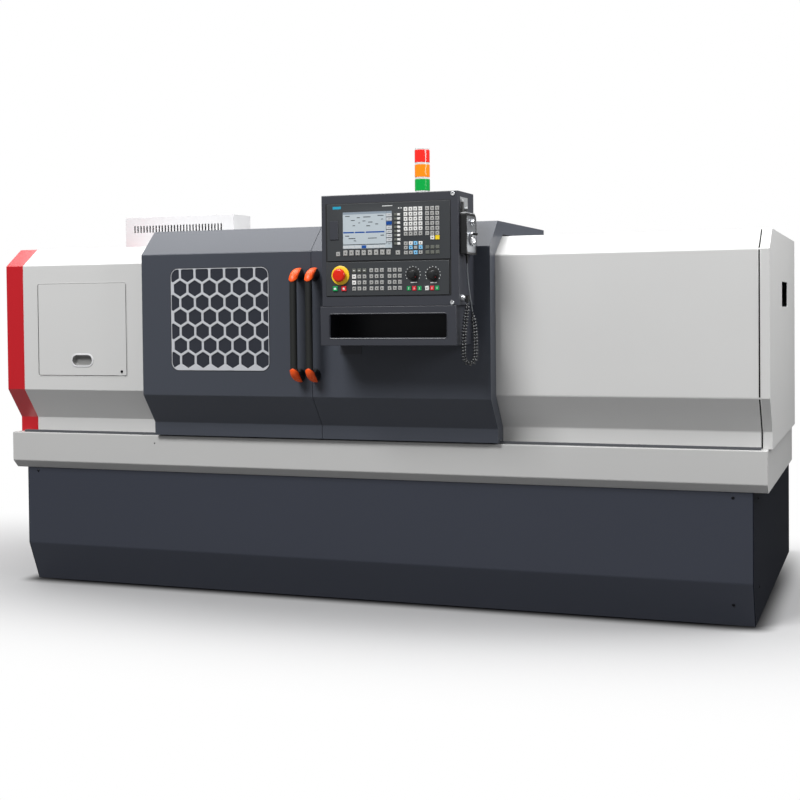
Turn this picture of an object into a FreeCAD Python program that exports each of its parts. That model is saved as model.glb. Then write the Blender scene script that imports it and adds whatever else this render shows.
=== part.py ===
import FreeCAD, Part
import math
import os

# CNC flat-bed turning lathe in a sheet-metal enclosure. Millimetres, +Z up, +X along the spindle
# towards the tailstock, -Y towards the operator. The origin is on the floor, under the spindle
# axis, at the centre of the anchor holes.

V = FreeCAD.Vector

# ---- driving dimensions: overall -------------------------------------------------------------
TRAY_HALF = 1650.0          # half the chip tray's length
BASE_HALF = 1596.0          # half the base's length
TRAY_FRONT = -563.0
BACK = 650.0                # rear face of the tray and the rear wall
BASE_BACK = 1200.0          # the base is deeper than the tray; a deck closes the part behind it
DECK_LAP = 38.0             # the deck reaches this far under the tray
FLOOR_GAP = 4.0             # base panels end this far above the floor
SHEET = 2.0                 # enclosure sheet
BASE_SHEET = 3.0            # base and tray sheet

# base front panel folds (y, z), from the top down
BASE_TOP = 519.0
BASE_FRONT = [(-530.0, BASE_TOP), (-530.0, 178.0), (-458.0, FLOOR_GAP)]

# chip tray
TRAY_FACE_LOW = 553.0
TRAY_TOP = 680.0
TRAY_RIM = 83.0             # width of the inward top flange
DRAIN_R = 40.0

# fixed covers: strip on the tray, underside slope, front, top slope, roof
COVER_STRIP = -504.0
COVER_STRIP_TOP = 745.0
COVER_FRONT = -600.0
COVER_FRONT_LOW = 875.0
COVER_FRONT_HIGH = 1423.0
COVER_RIDGE = -489.0
ROOF = 1501.0

CAP_LEFT = -1644.0          # red end cap, then the left cover
CAP_RIGHT = -1556.0
LEFT_COVER_RIGHT = -876.0
RIGHT_COVER_LEFT = 601.0
RIGHT_COVER_RIGHT = 1626.0
END_RIGHT = 1663.0
BULKHEAD = -880.0           # left face of the partition around the spindle nose
REAR_ROOF_FRONT = 60.0      # the fixed roof between the covers starts here, under the door hoods
BAR_HOLE_R = 60.0

# access panel in the left cover
PANEL_X = (-1481.0, -1030.0)
PANEL_Z = (937.0, 1342.0)
PANEL_R = 10.0
PANEL_SEAM = 3.0
HINGE_SEAM = 0.6
PULL_SLOT = (-1255.0, 1005.0, 100.0, 46.0)      # centre x, centre z, length, height
PANEL_LOCK = (-1056.0, 957.0, 6.0)              # centre x, centre z, radius

# slot in the right end wall
END_SLOT = (89.0, 1260.0, 280.0, 104.0)         # centre y, centre z, length, height
END_SLOT_R = 14.0

# sliding doors
DOOR_STRIP = -584.0
DOOR_LOW = 686.0
DOOR_STRIP_TOP = 741.0
DOOR_FRONT = -678.0
DOOR_FRONT_LOW = 864.0
DOOR_FRONT_HIGH = 1454.0
DOOR_RIDGE = -565.0
HOOD = 1558.0
HOOD_BACK = 170.0
HOOD_FLANGE_LOW = 1507.0
DOOR_LEFT = -904.0
DOOR_SEAM = -121.0
DOOR_RIGHT = 629.0
SEAM_GAP = 2.0
RETURN_GAP = 6.0            # door end returns stay this far outside the covers
RAIL_W = 16.0
RAIL_LOW_Y = -537.0
RAIL_LOW_H = 10.0
RAIL_HIGH_Y = 148.0
RAIL_HIGH_H = 19.0
RAIL_LOW_X = (-1600.0, RIGHT_COVER_RIGHT)
RAIL_HIGH_X = (-1620.0, 1500.0)
SLIDE_GAP = 0.3
SHOE_LEN = 60.0
SHOE_WALL = 12.0

# window in the left door
WIN_X = (-765.0, -311.0)
WIN_Z = (968.0, 1394.0)
WIN_R = 34.0
GLASS_T = 6.0
GLASS_LAP = 20.0
GRILLE_T = 3.0
GRILLE_GAP = 0.5
GRILLE_RIM = 3.0
HEX_PITCH = 69.0
HEX_WEB = 10.0
HEX_START = (44.5, 44.0)     # first cell from the window's low left corner

# door handles
HANDLE_LEFT_X = -170.0
HANDLE_RIGHT_X = -102.0
HANDLE_Z = (924.0, 1386.0)
HANDLE_W = 30.0
HANDLE_BAR_Y = -748.0
HANDLE_BAR_D = 22.0
HANDLE_FOOT_H = 54.0

# control box on the right door, its two panels and the pocket below
BOX_X = (10.0, 565.0)
BOX_Z = (1227.0, 1655.0)
BOX_FRONT = -870.0
PANEL_T = 4.0
DISPLAY_X = (35.0, 533.0)
DISPLAY_Z = (1402.0, 1620.0)
BUTTONS_X = (30.0, 528.0)
BUTTONS_Z = (1268.0, 1397.0)
SCREEN_X = (100.0, 302.0)
SCREEN_Z = (1448.0, 1589.0)
SCREEN_T = 1.5
POCKET_X = (2.0, 553.0)
POCKET_LOW = 1077.0
POCKET_MOUTH_X = (39.0, 516.0)
POCKET_MOUTH_Z = (1106.0, 1197.0)
POCKET_TAB = (2.0, 95.0, 1037.0)                # left, right and lower edge of the fixing tab

ESTOP = (89.0, 1347.0)
ESTOP_R = 25.5
ESTOP_STEM_R = 11.0
ESTOP_TRAVEL = 4.0
START = (68.0, 1296.0)
STOP = (104.0, 1296.0)
KEY_SIZE = 19.0
KEY_TRAVEL = 3.0
KEY_GAP = 0.3
SPINDLE_KNOB = (385.0, 1346.0)
FEED_KNOB = (464.0, 1344.0)
KNOB_R = 17.0
KNOB_H = 22.0
KNOB_SHAFT_R = 3.5
RUN_GAP = 0.05              # radial running clearance of shafts and stems

# signal tower
TOWER = (390.0, -770.0)
TOWER_R = 29.0
TOWER_RING_R = 28.0
TOWER_BASE_TOP = 1667.0
TOWER_GREEN_TOP = 1711.0
TOWER_RING = 8.0
TOWER_LENS = 48.0
TOWER_TOP = 1832.0

# hand pendant on the side of the control box
PENDANT_X = (567.3, 592.0)
PENDANT_Y = (-856.0, -729.0)
PENDANT_Z = (1418.0, 1571.0)
PENDANT_R = 25.0
WHEEL_YZ = (-797.0, 1478.0)
WHEEL_R = 27.0
WHEEL_T = 10.0
SELECTOR_YZ = (-797.0, 1540.0)
SELECTOR_R = 13.0
SELECTOR_T = 13.0
PENDANT_SHAFT_R = 4.0
GLAND = (588.0, -842.0, 1256.0)
GLAND_R = 9.0
GLAND_DROP = 16.0
TAIL_R = 3.0
CURLY_R = 11.0
TAIL_ROUTE = [
    (580.0, -815.0, 1418.0),
    (580.0, -815.0, 1364.0),
    (584.0, -815.0, 1308.0),
    (592.0, -815.0, 1250.0),
    (600.0, -815.0, 1197.0),
]
CURLY_ROUTE = [
    (600.0, -815.0, 1197.0),
    (606.5, -815.0, 1154.0),
    (610.5, -816.5, 1112.0),
    (612.0, -819.0, 1072.0),
    (611.5, -821.0, 1044.0),
    (610.0, -823.0, 1021.5),
    (598.5, -826.5, 1009.0),
    (582.5, -830.5, 1009.0),
    (571.5, -834.0, 1021.0),
    (569.5, -836.5, 1044.0),
    (571.0, -839.0, 1076.0),
    (574.0, -841.0, 1116.0),
    (579.0, -842.0, 1158.0),
    (584.0, -842.0, 1199.0),
    (588.0, -842.0, 1219.0),
    (588.0, -842.0, 1240.0),
]

# bed, headstock and spindle
SPINDLE_Z = 1110.0
BED_X = (-1460.0, 1320.0)
BED_HALF = 200.0
BED_TOP = 830.0
BED_FOOT = 38.0
WAY_W = 110.0
WAY_T = 40.0
BED_WALL = 50.0
RIDGE_Y = -145.0            # middle of the V way
RIDGE_HALF = 25.0
RIDGE_H = 20.0
WEB_T = 25.0
WEB_COUNT = 7
PEDESTAL_X = (920.0, 1380.0)
PEDESTAL_HALF = 200.0
PEDESTAL_WALL = 25.0
FLANGE_T = 25.0
FLANGE_OUT = 70.0
ANCHOR_X = (880.0, 1420.0)
ANCHOR_Y = 160.0
ANCHOR_R = 11.0
HEAD_X = (-1440.0, -890.0)
HEAD_HALF = 230.0
HEAD_TOP = 1300.0
HEAD_WALL = 55.0
JOURNAL_R = 60.0
TAIL_JOURNAL_R = 48.0
BORE_R = 41.0
NOSE_R = 105.0
NOSE_T = 30.0
NOSE_GAP = 2.0
NOSE_HOLE_GAP = 7.0
SPINDLE_REAR = -1512.0
PULLEY_X = (-1506.0, -1463.0)
PULLEY_R = 110.0
MOTOR_PULLEY_R = 75.0
BELT_T = 8.0
BELT_GAP = 0.3

# main motor behind the left pedestal
MOTOR_Y = 400.0
MOTOR_Z = 330.0
MOTOR_R = 105.0
MOTOR_X = (-1420.0, -1060.0)
MOTOR_SHAFT_R = 19.0
MOTOR_SHAFT_IN = 70.0

# chuck
CHUCK_R = 125.0
CHUCK_T = 100.0
CHUCK_BORE_R = 43.0
JAW_COUNT = 3
JAW_BASE_W = 26.0
JAW_TOP_W = 40.0
JAW_IN = 55.0
JAW_STEP = 78.0
JAW_OUT = 118.0
JAW_H = 58.0
JAW_STEP_H = 30.0
JAW_SLOT_DEPTH = 22.0
JAW_GAP = 0.2

# carriage
CARRIAGE_X = -350.0
CARRIAGE_HALF = 180.0
CARRIAGE_HALF_Y = 275.0
CARRIAGE_TOP = 890.0
APRON_HALF = 120.0
APRON_LOW = 700.0
WAY_GAP = 0.1
Z_SCREW_Y = -238.0
Z_SCREW_Z = 760.0
Z_SCREW_R = 20.0
SUPPORT_HALF = 38.0
SUPPORT_T = 40.0
CROSS_HALF = 130.0
CROSS_Y = (-420.0, 80.0)
CROSS_TOP = 945.0
DOVETAIL_HALF = 70.0
DOVETAIL_FLARE = 10.0
DOVETAIL_H = 25.0
X_SCREW_R = 10.0
X_SCREW_Z = 870.0
X_CHANNEL = 16.0
X_CHANNEL_LOW = 852.0
X_CHANNEL_WALL = 15.0
X_NUT_Y = (-150.0, -90.0)
TURRET_Y = -290.0
TURRET_HALF = 95.0
TURRET_BASE_T = 40.0
TURRET_BASE_R = 85.0
TURRET_TOP = 1150.0
TOOL_SIZE = 25.0
TOOL_OUT = 45.0
TURRET_SLOT_D = 42.0

# tailstock
TAIL_X = (900.0, 1150.0)
TAIL_HALF = 200.0
TAIL_BASE_TOP = 872.0
COLUMN_HALF = 90.0
BARREL_R = 75.0
QUILL_R = 40.0
QUILL_X = (850.0, 1120.0)
QUILL_BORE_R = 12.3
QUILL_BORE_DEPTH = 190.0
TAIL_SCREW_R = 12.0
TAIL_SCREW_IN = 175.0
REAR_CAP_T = 25.0
HANDWHEEL_R = 90.0
HANDWHEEL_T = 18.0
HANDWHEEL_RIM = 14.0
CENTRE_R = 18.0
CENTRE_OUT = 30.0
CENTRE_SHANK_R = 15.0
CENTRE_SHANK = 60.0

# electrical cabinet at the back left
CABINET_X = (-1640.0, -1020.0)
CABINET_Y = (400.0, 588.0)
CABINET_TOP = 1700.0
LOUVRE_X = (-1590.0, -1085.0)
LOUVRE_Z = (1621.0, 1656.0)
LOUVRE_COUNT = 29
LOUVRE_W = 8.0
CABINET_DOOR_GAP = 0.3
KNUCKLE_R = 4.0
KNUCKLE_H = 40.0
KNUCKLE_Z = (780.0, 1560.0)

# coolant tank under the tray
TANK_X = (-500.0, 500.0)
TANK_Y = (-200.0, 250.0)
TANK_TOP = 380.0
PUMP_R = 55.0
PUMP_TOP = 495.0
FEED_R = 12.0


# ---- helpers ---------------------------------------------------------------------------------
def box(x0, x1, y0, y1, z0, z1):
    """Box between the given limits."""
    return Part.makeBox(x1 - x0, y1 - y0, z1 - z0, V(x0, y0, z0))


def rod(axis, start, end, centre, radius):
    """Cylinder along x, y or z from start to end; centre holds the other two coordinates."""
    a, b = centre
    base = {"x": V(start, a, b), "y": V(a, start, b), "z": V(a, b, start)}[axis]
    way = {"x": V(1, 0, 0), "y": V(0, 1, 0), "z": V(0, 0, 1)}[axis]
    return Part.makeCylinder(radius, end - start, base, way)


def prism(axis, points, start, end):
    """Polygon of the other two coordinates, in axis order, extruded along x, y or z."""
    place = {
        "x": lambda a, b: V(start, a, b),
        "y": lambda a, b: V(a, start, b),
        "z": lambda a, b: V(a, b, start),
    }[axis]
    way = {"x": V(1, 0, 0), "y": V(0, 1, 0), "z": V(0, 0, 1)}[axis]
    corners = [place(a, b) for a, b in points]
    face = Part.Face(Part.makePolygon(corners + corners[:1]))
    return face.extrude(way * (end - start))


def round_box(axis, a, b, span, radius):
    """Plate with four rounded corners: limits a and b across, span along the axis."""
    swap = {
        "x": lambda: box(span[0], span[1], a[0], a[1], b[0], b[1]),
        "y": lambda: box(a[0], a[1], span[0], span[1], b[0], b[1]),
        "z": lambda: box(a[0], a[1], b[0], b[1], span[0], span[1]),
    }[axis]()
    index = "xyz".index(axis)
    edges = []
    for edge in swap.Edges:
        ends = [v.Point for v in edge.Vertexes]
        if abs(ends[0][index] - ends[1][index]) > 1e-6:
            edges.append(edge)
    return swap.makeFillet(radius, edges)


def slot(axis, centre, length, height, span):
    """Stadium-shaped bar: length along the first cross coordinate, height along the second."""
    a, b = centre
    radius = height / 2.0 - 0.01
    across = (a - length / 2.0, a + length / 2.0)
    return round_box(axis, across, (b - height / 2.0, b + height / 2.0), span, radius)


def join(*shapes):
    """Fuse shapes into one body and remove the seams."""
    result = shapes[0]
    if len(shapes) > 1:
        result = result.fuse(list(shapes[1:]))
    return result.removeSplitter()


def offset_line(points, distance):
    """Open line moved to the right of its direction by distance, with mitred corners."""
    moved = []
    count = len(points)
    for i in range(count):
        normals = []
        for j in (i - 1, i):
            if 0 <= j < count - 1:
                dy = points[j + 1][0] - points[j][0]
                dz = points[j + 1][1] - points[j][1]
                size = math.hypot(dy, dz)
                normals.append((dz / size, -dy / size))
        ny = sum(n[0] for n in normals) / len(normals)
        nz = sum(n[1] for n in normals) / len(normals)
        scale = distance / (ny * ny + nz * nz)
        moved.append((points[i][0] + ny * scale, points[i][1] + nz * scale))
    return moved


def folded_sheet(profile, thickness, x0, x1):
    """Sheet folded along an open (y, z) profile, thickness inwards, extruded along x."""
    inner = offset_line(profile, thickness)
    return prism("x", profile + inner[::-1], x0, x1)


def cover_profile(back):
    """Outer (y, z) line of the fixed covers, from the tray up and over to the back."""
    return [
        (COVER_STRIP, TRAY_TOP),
        (COVER_STRIP, COVER_STRIP_TOP),
        (COVER_FRONT, COVER_FRONT_LOW),
        (COVER_FRONT, COVER_FRONT_HIGH),
        (COVER_RIDGE, ROOF),
        (back, ROOF),
    ]


def inside_profile(back):
    """Closed (y, z) outline of the space inside a cover."""
    return offset_line(cover_profile(back), SHEET) + [(back, TRAY_TOP)]


def pipe(route, radius, name):
    """Round tube along straight runs joined by tangent arcs; prints its smallest radius."""
    points = [V(*p) for p in route]
    edges = []
    start = points[0]
    radii = []
    for i in range(1, len(points) - 1):
        before = points[i] - points[i - 1]
        after = points[i + 1] - points[i]
        run = min(before.Length, after.Length)
        before.normalize()
        after.normalize()
        half = before.getAngle(after) / 2.0
        reach = 0.45 * run
        arc_radius = reach / math.tan(half)
        radii.append(arc_radius)
        enter = points[i] - before * reach
        leave = points[i] + after * reach
        bisector = (after - before).normalize()
        middle = points[i] + bisector * (arc_radius / math.cos(half) - arc_radius)
        edges.append(Part.LineSegment(start, enter).toShape())
        edges.append(Part.Arc(enter, middle, leave).toShape())
        start = leave
    edges.append(Part.LineSegment(start, points[-1]).toShape())
    path = Part.Wire(edges)
    first = points[1] - points[0]
    ring = Part.Wire(Part.makeCircle(radius, points[0], first))
    tube = path.makePipeShell([ring], True, True)
    size = math.pi * radius * radius * path.Length
    print(f"{name}: smallest bend {min(radii):.1f}, length {path.Length:.0f},", end=" ")
    print(f"volume ratio {tube.Volume / size:.4f}")
    return tube


# ---- base and tray ---------------------------------------------------------------------------
def base_front_panel():
    front = BASE_FRONT[::-1]
    inner = offset_line(front, BASE_SHEET)
    inner[0] = (inner[0][0], FLOOR_GAP)
    inner[-1] = (inner[-1][0], BASE_TOP)
    half = BASE_HALF - BASE_SHEET
    return prism("x", front + inner[::-1], -half, half)


def base_side_panels():
    """End panels, rear panel and the deck behind the tray."""
    outline = BASE_FRONT + [(BASE_BACK, FLOOR_GAP), (BASE_BACK, BASE_TOP)]
    inner = BASE_HALF - BASE_SHEET
    left = prism("x", outline, -BASE_HALF, -inner)
    right = prism("x", outline, inner, BASE_HALF)
    rear = box(-inner, inner, BASE_BACK - BASE_SHEET, BASE_BACK, FLOOR_GAP, BASE_TOP)
    deck_back = BASE_BACK - BASE_SHEET
    deck = box(-inner, inner, BACK - DECK_LAP, deck_back, BASE_TOP - BASE_SHEET, BASE_TOP)
    return Part.makeCompound([left, right, rear, deck])


def bed_pedestals():
    """Two cast pedestals with a floor flange and anchor holes, open underneath."""
    solids = []
    for side in (-1, 1):
        x0, x1 = sorted((side * PEDESTAL_X[0], side * PEDESTAL_X[1]))
        body = box(x0, x1, -PEDESTAL_HALF, PEDESTAL_HALF, 0, BASE_TOP)
        flange = box(
            x0 - FLANGE_OUT, x1 + FLANGE_OUT, -PEDESTAL_HALF, PEDESTAL_HALF, 0, FLANGE_T
        )
        wall = PEDESTAL_WALL
        hollow = box(
            x0 + wall, x1 - wall, wall - PEDESTAL_HALF, PEDESTAL_HALF - wall, -1, BASE_TOP - wall
        )
        solid = join(body, flange).cut(hollow)
        for x in ANCHOR_X:
            for y in (-ANCHOR_Y, ANCHOR_Y):
                solid = solid.cut(rod("z", -1, FLANGE_T + 1, (side * x, y), ANCHOR_R))
        solids.append(solid)
    return Part.makeCompound(solids)


def belt_outline(gap):
    """Belt loop around both pulleys as a filled shape, grown by gap."""
    shapes = []
    big = PULLEY_R + gap
    small = MOTOR_PULLEY_R + gap
    x0, x1 = PULLEY_X
    dy = MOTOR_Y
    dz = MOTOR_Z - SPINDLE_Z
    span = math.hypot(dy, dz)
    base = math.atan2(dz, dy)
    spread = math.acos((big - small) / span)
    corners = []
    for sign in (1, -1):
        angle = base + sign * spread
        way = (math.cos(angle), math.sin(angle))
        top = (big * way[0], SPINDLE_Z + big * way[1])
        low = (MOTOR_Y + small * way[0], MOTOR_Z + small * way[1])
        corners.extend([top, low] if sign == 1 else [low, top])
    shapes.append(prism("x", corners, x0, x1))
    shapes.append(rod("x", x0, x1, (0.0, SPINDLE_Z), big))
    shapes.append(rod("x", x0, x1, (MOTOR_Y, MOTOR_Z), small))
    return join(*shapes)


def drive_belt():
    return belt_outline(BELT_GAP + BELT_T).cut(belt_outline(BELT_GAP))


def chip_tray():
    """Welded pan with a sloping front lip, an inward rim, belt and drain openings."""
    slope_low = BASE_FRONT[0][0] + 1.0
    outer = [
        (TRAY_FRONT, TRAY_TOP),
        (TRAY_FRONT, TRAY_FACE_LOW),
        (slope_low, BASE_TOP),
        (BACK, BASE_TOP),
        (BACK, TRAY_TOP),
    ]
    inner = offset_line(outer, -BASE_SHEET)
    inner[0] = (inner[0][0], TRAY_TOP - BASE_SHEET)
    inner[-1] = (inner[-1][0], TRAY_TOP - BASE_SHEET)
    pan = prism("x", outer, -TRAY_HALF, TRAY_HALF)
    pan = pan.cut(prism("x", inner, BASE_SHEET - TRAY_HALF, TRAY_HALF - BASE_SHEET))
    mouth = TRAY_HALF - TRAY_RIM
    pan = pan.cut(
        box(-mouth, mouth, TRAY_FRONT + TRAY_RIM, BACK - TRAY_RIM, BASE_TOP + 50, TRAY_TOP + 1)
    )
    floor = (BASE_TOP - 1, BASE_TOP + BASE_SHEET + 1)
    belt_hole = belt_outline(BELT_GAP + BELT_T + 12.0)
    grow = box(PULLEY_X[0] - 10, PULLEY_X[1] + 2, -BED_HALF, BACK, floor[0], floor[1])
    hole_box = belt_hole.common(grow).BoundBox
    pan = pan.cut(
        box(PULLEY_X[0] - 10, PULLEY_X[1] + 2, hole_box.YMin, hole_box.YMax, floor[0], floor[1])
    )
    return pan.cut(rod("z", floor[0], floor[1], (0.0, 0.0), DRAIN_R))


def coolant_unit():
    """Open tank under the drain; its pump stands on a half lid and feeds up to the tray."""
    x0, x1 = TANK_X
    y0, y1 = TANK_Y
    tank = box(x0, x1, y0, y1, 0, TANK_TOP)
    wall = BASE_SHEET
    tank = tank.cut(box(x0 + wall, x1 - wall, y0 + wall, y1 - wall, wall, TANK_TOP + 1))
    lid = box(x1 - 4 * PUMP_R, x1 - wall, y0 + wall, y1 - wall, TANK_TOP - wall, TANK_TOP)
    spot = (x1 - 2 * PUMP_R, 0.0)
    pump = rod("z", TANK_TOP, PUMP_TOP, spot, PUMP_R)
    feed = rod("z", PUMP_TOP, BASE_TOP, spot, FEED_R)
    return Part.makeCompound([join(tank, lid), join(pump, feed)])


# ---- bed, headstock, spindle -----------------------------------------------------------------
def ridge(x0, x1, grow):
    """V way on top of the bed, grown by a clearance."""
    half = RIDGE_HALF + grow
    points = [
        (RIDGE_Y - half, BED_TOP - 1),
        (RIDGE_Y + half, BED_TOP - 1),
        (RIDGE_Y, BED_TOP + RIDGE_H + grow),
    ]
    return prism("x", points, x0, x1)


def screw_support(x0, x1):
    """Boss on the bed's front wall that carries the ball screw."""
    block = box(
        x0, x1, Z_SCREW_Y - SUPPORT_HALF, -BED_HALF, Z_SCREW_Z - SUPPORT_HALF,
        Z_SCREW_Z + SUPPORT_HALF,
    )
    return block


def bed():
    """Cast bed: two walls, two ways, cross webs, feet on the pedestals, screw supports."""
    x0, x1 = BED_X
    bottom = BASE_TOP + BASE_SHEET
    parts = []
    for side in (-1, 1):
        y0, y1 = sorted((side * BED_HALF, side * (BED_HALF - BED_WALL)))
        parts.append(box(x0, x1, y0, y1, bottom + BED_FOOT, BED_TOP))
        y0, y1 = sorted((side * BED_HALF, side * (BED_HALF - WAY_W)))
        parts.append(box(x0, x1, y0, y1, BED_TOP - WAY_T, BED_TOP))
        px0, px1 = sorted((side * PEDESTAL_X[0], side * PEDESTAL_X[1]))
        foot_end = min(px1, x1)
        parts.append(box(px0, foot_end, -BED_HALF, BED_HALF, bottom, bottom + BED_FOOT))
    pitch = (x1 - x0 - WEB_T) / (WEB_COUNT - 1)
    for i in range(WEB_COUNT):
        web = x0 + i * pitch
        inner = BED_HALF - BED_WALL
        parts.append(
            box(web, web + WEB_T, -inner, inner, bottom + BED_FOOT, BED_TOP - 2 * WAY_T)
        )
    parts.append(ridge(HEAD_X[1] + 1, x1, 0.0))
    left = BULKHEAD + 20.0
    right = x1 - SUPPORT_T + 10.0
    parts.append(screw_support(left, left + SUPPORT_T))
    parts.append(screw_support(right, right + SUPPORT_T))
    solid = join(*parts)
    bore = Z_SCREW_R + RUN_GAP
    return solid.cut(rod("x", left - 1, right + SUPPORT_T + 1, (Z_SCREW_Y, Z_SCREW_Z), bore))


def headstock():
    """Cast housing on the bed, hollow, with journal bores in both end walls."""
    x0, x1 = HEAD_X
    wall = HEAD_WALL
    body = box(x0, x1, -HEAD_HALF, HEAD_HALF, BED_TOP, HEAD_TOP)
    body = body.cut(
        box(
            x0 + wall, x1 - wall, wall - HEAD_HALF, HEAD_HALF - wall, BED_TOP + wall,
            HEAD_TOP - wall,
        )
    )
    return body.cut(rod("x", x0 - 1, x1 + 1, (0.0, SPINDLE_Z), JOURNAL_R + RUN_GAP))


def spindle_nose():
    """x of the spindle nose's front face."""
    return HEAD_X[1] + NOSE_GAP + NOSE_T


def spindle():
    """Hollow spindle with its nose flange, and the belt pulley on its tail."""
    axis = (0.0, SPINDLE_Z)
    nose = spindle_nose()
    shoulder = HEAD_X[0] - NOSE_GAP
    shaft = join(
        rod("x", SPINDLE_REAR, shoulder, axis, TAIL_JOURNAL_R),
        rod("x", shoulder, nose - NOSE_T, axis, JOURNAL_R),
        rod("x", nose - NOSE_T, nose, axis, NOSE_R),
    )
    shaft = shaft.cut(rod("x", SPINDLE_REAR - 1, nose + 1, axis, BORE_R))
    pulley = rod("x", PULLEY_X[0], PULLEY_X[1], axis, PULLEY_R)
    pulley = pulley.cut(rod("x", PULLEY_X[0], PULLEY_X[1], axis, TAIL_JOURNAL_R + RUN_GAP))
    return Part.makeCompound([shaft, pulley])


def turned(shape, index):
    """Copy of a shape turned about the spindle axis to jaw position index."""
    copy = shape.copy()
    copy.rotate(V(0, 0, SPINDLE_Z), V(1, 0, 0), 360.0 * index / JAW_COUNT)
    return copy


def chuck_body():
    axis = (0.0, SPINDLE_Z)
    x0 = spindle_nose()
    x1 = x0 + CHUCK_T
    body = rod("x", x0, x1, axis, CHUCK_R)
    body = body.cut(rod("x", x0 - 1, x1 + 1, axis, CHUCK_BORE_R))
    half = JAW_BASE_W / 2.0
    way = box(x1 - JAW_SLOT_DEPTH, x1 + 1, -half, half, SPINDLE_Z, SPINDLE_Z + CHUCK_R + 1)
    for i in range(JAW_COUNT):
        body = body.cut(turned(way, i))
    return body


def chuck_jaw(index):
    """Stepped jaw that slides in its slot in the chuck face."""
    face = spindle_nose() + CHUCK_T
    half = JAW_BASE_W / 2.0 - JAW_GAP
    low = SPINDLE_Z + JAW_IN
    high = SPINDLE_Z + JAW_OUT
    base = box(face - JAW_SLOT_DEPTH + JAW_GAP, face + JAW_GAP, -half, half, low, high)
    half = JAW_TOP_W / 2.0
    step = box(face + JAW_GAP, face + JAW_STEP_H, -half, half, low, high)
    grip = box(face + JAW_STEP_H, face + JAW_H, -half, half, low, SPINDLE_Z + JAW_STEP)
    return turned(join(base, step, grip), index)


def main_motor():
    """Spindle motor with a foot bolted to the back of the left pedestal."""
    x0, x1 = MOTOR_X
    axis = (MOTOR_Y, MOTOR_Z)
    body = rod("x", x0, x1, axis, MOTOR_R)
    foot_top = MOTOR_Z - MOTOR_R + 12.0
    foot = box(x0 + 60, x1 - 60, PEDESTAL_HALF, MOTOR_Y + 60, foot_top - 30, foot_top)
    lug = box(x0 + 60, x1 - 60, PEDESTAL_HALF, PEDESTAL_HALF + 25, foot_top - 30, foot_top + 90)
    bore = rod("x", x0 - 1, x0 + MOTOR_SHAFT_IN, axis, MOTOR_SHAFT_R + RUN_GAP)
    return join(body, foot, lug).cut(bore)


def motor_pulley():
    axis = (MOTOR_Y, MOTOR_Z)
    wheel = rod("x", PULLEY_X[0], PULLEY_X[1], axis, MOTOR_PULLEY_R)
    shaft = rod("x", PULLEY_X[0], MOTOR_X[0] + MOTOR_SHAFT_IN - 2, axis, MOTOR_SHAFT_R)
    return join(wheel, shaft)


# ---- carriage and its drives -----------------------------------------------------------------
def saddle():
    """Carriage on the ways, with an apron for the ball screw and a dovetail for the slide."""
    x0 = CARRIAGE_X - CARRIAGE_HALF
    x1 = CARRIAGE_X + CARRIAGE_HALF
    low = BED_TOP + WAY_GAP
    plate = box(x0, x1, -CARRIAGE_HALF_Y, CARRIAGE_HALF_Y, low, CARRIAGE_TOP)
    apron = box(
        CARRIAGE_X - APRON_HALF, CARRIAGE_X + APRON_HALF, -CARRIAGE_HALF_Y,
        -BED_HALF - WAY_GAP, APRON_LOW, low,
    )
    top = CARRIAGE_TOP + DOVETAIL_H
    half = DOVETAIL_HALF
    wide = DOVETAIL_HALF + DOVETAIL_FLARE
    tail = [
        (CARRIAGE_X - half, CARRIAGE_TOP),
        (CARRIAGE_X + half, CARRIAGE_TOP),
        (CARRIAGE_X + wide, top),
        (CARRIAGE_X - wide, top),
    ]
    dovetail = prism("y", tail, -CARRIAGE_HALF_Y, CARRIAGE_HALF_Y)
    body = join(plate, apron, dovetail)
    body = body.cut(ridge(x0 - 1, x1 + 1, 2 * WAY_GAP))
    screw = rod("x", x0, x1, (Z_SCREW_Y, Z_SCREW_Z), Z_SCREW_R + RUN_GAP)
    body = body.cut(screw)
    wall = CARRIAGE_HALF_Y - X_CHANNEL_WALL
    channel = box(
        CARRIAGE_X - X_CHANNEL, CARRIAGE_X + X_CHANNEL, -wall, wall, X_CHANNEL_LOW, top + 1
    )
    body = body.cut(channel)
    axis = (CARRIAGE_X, X_SCREW_Z)
    return body.cut(
        rod("y", -CARRIAGE_HALF_Y - 1, CARRIAGE_HALF_Y + 1, axis, X_SCREW_R + RUN_GAP)
    )


def cross_slide():
    """Cross slide over the dovetail, with the screw nut hanging in the saddle's channel."""
    y0, y1 = CROSS_Y
    low = CARRIAGE_TOP + WAY_GAP
    body = box(
        CARRIAGE_X - CROSS_HALF, CARRIAGE_X + CROSS_HALF, y0, y1, low, CROSS_TOP
    )
    gap = 2 * WAY_GAP
    half = DOVETAIL_HALF + gap
    wide = DOVETAIL_HALF + DOVETAIL_FLARE + gap
    top = CARRIAGE_TOP + DOVETAIL_H + WAY_GAP
    groove = [
        (CARRIAGE_X - half, CARRIAGE_TOP),
        (CARRIAGE_X + half, CARRIAGE_TOP),
        (CARRIAGE_X + wide, top),
        (CARRIAGE_X - wide, top),
    ]
    body = body.cut(prism("y", groove, y0 - 1, y1 + 1))
    half = X_CHANNEL - 2.0
    nut = box(
        CARRIAGE_X - half, CARRIAGE_X + half, X_NUT_Y[0], X_NUT_Y[1],
        X_CHANNEL_LOW + 2.0, top + 1.0,
    )
    body = join(body, nut)
    axis = (CARRIAGE_X, X_SCREW_Z)
    return body.cut(rod("y", y0, y1, axis, X_SCREW_R + RUN_GAP))


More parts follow.
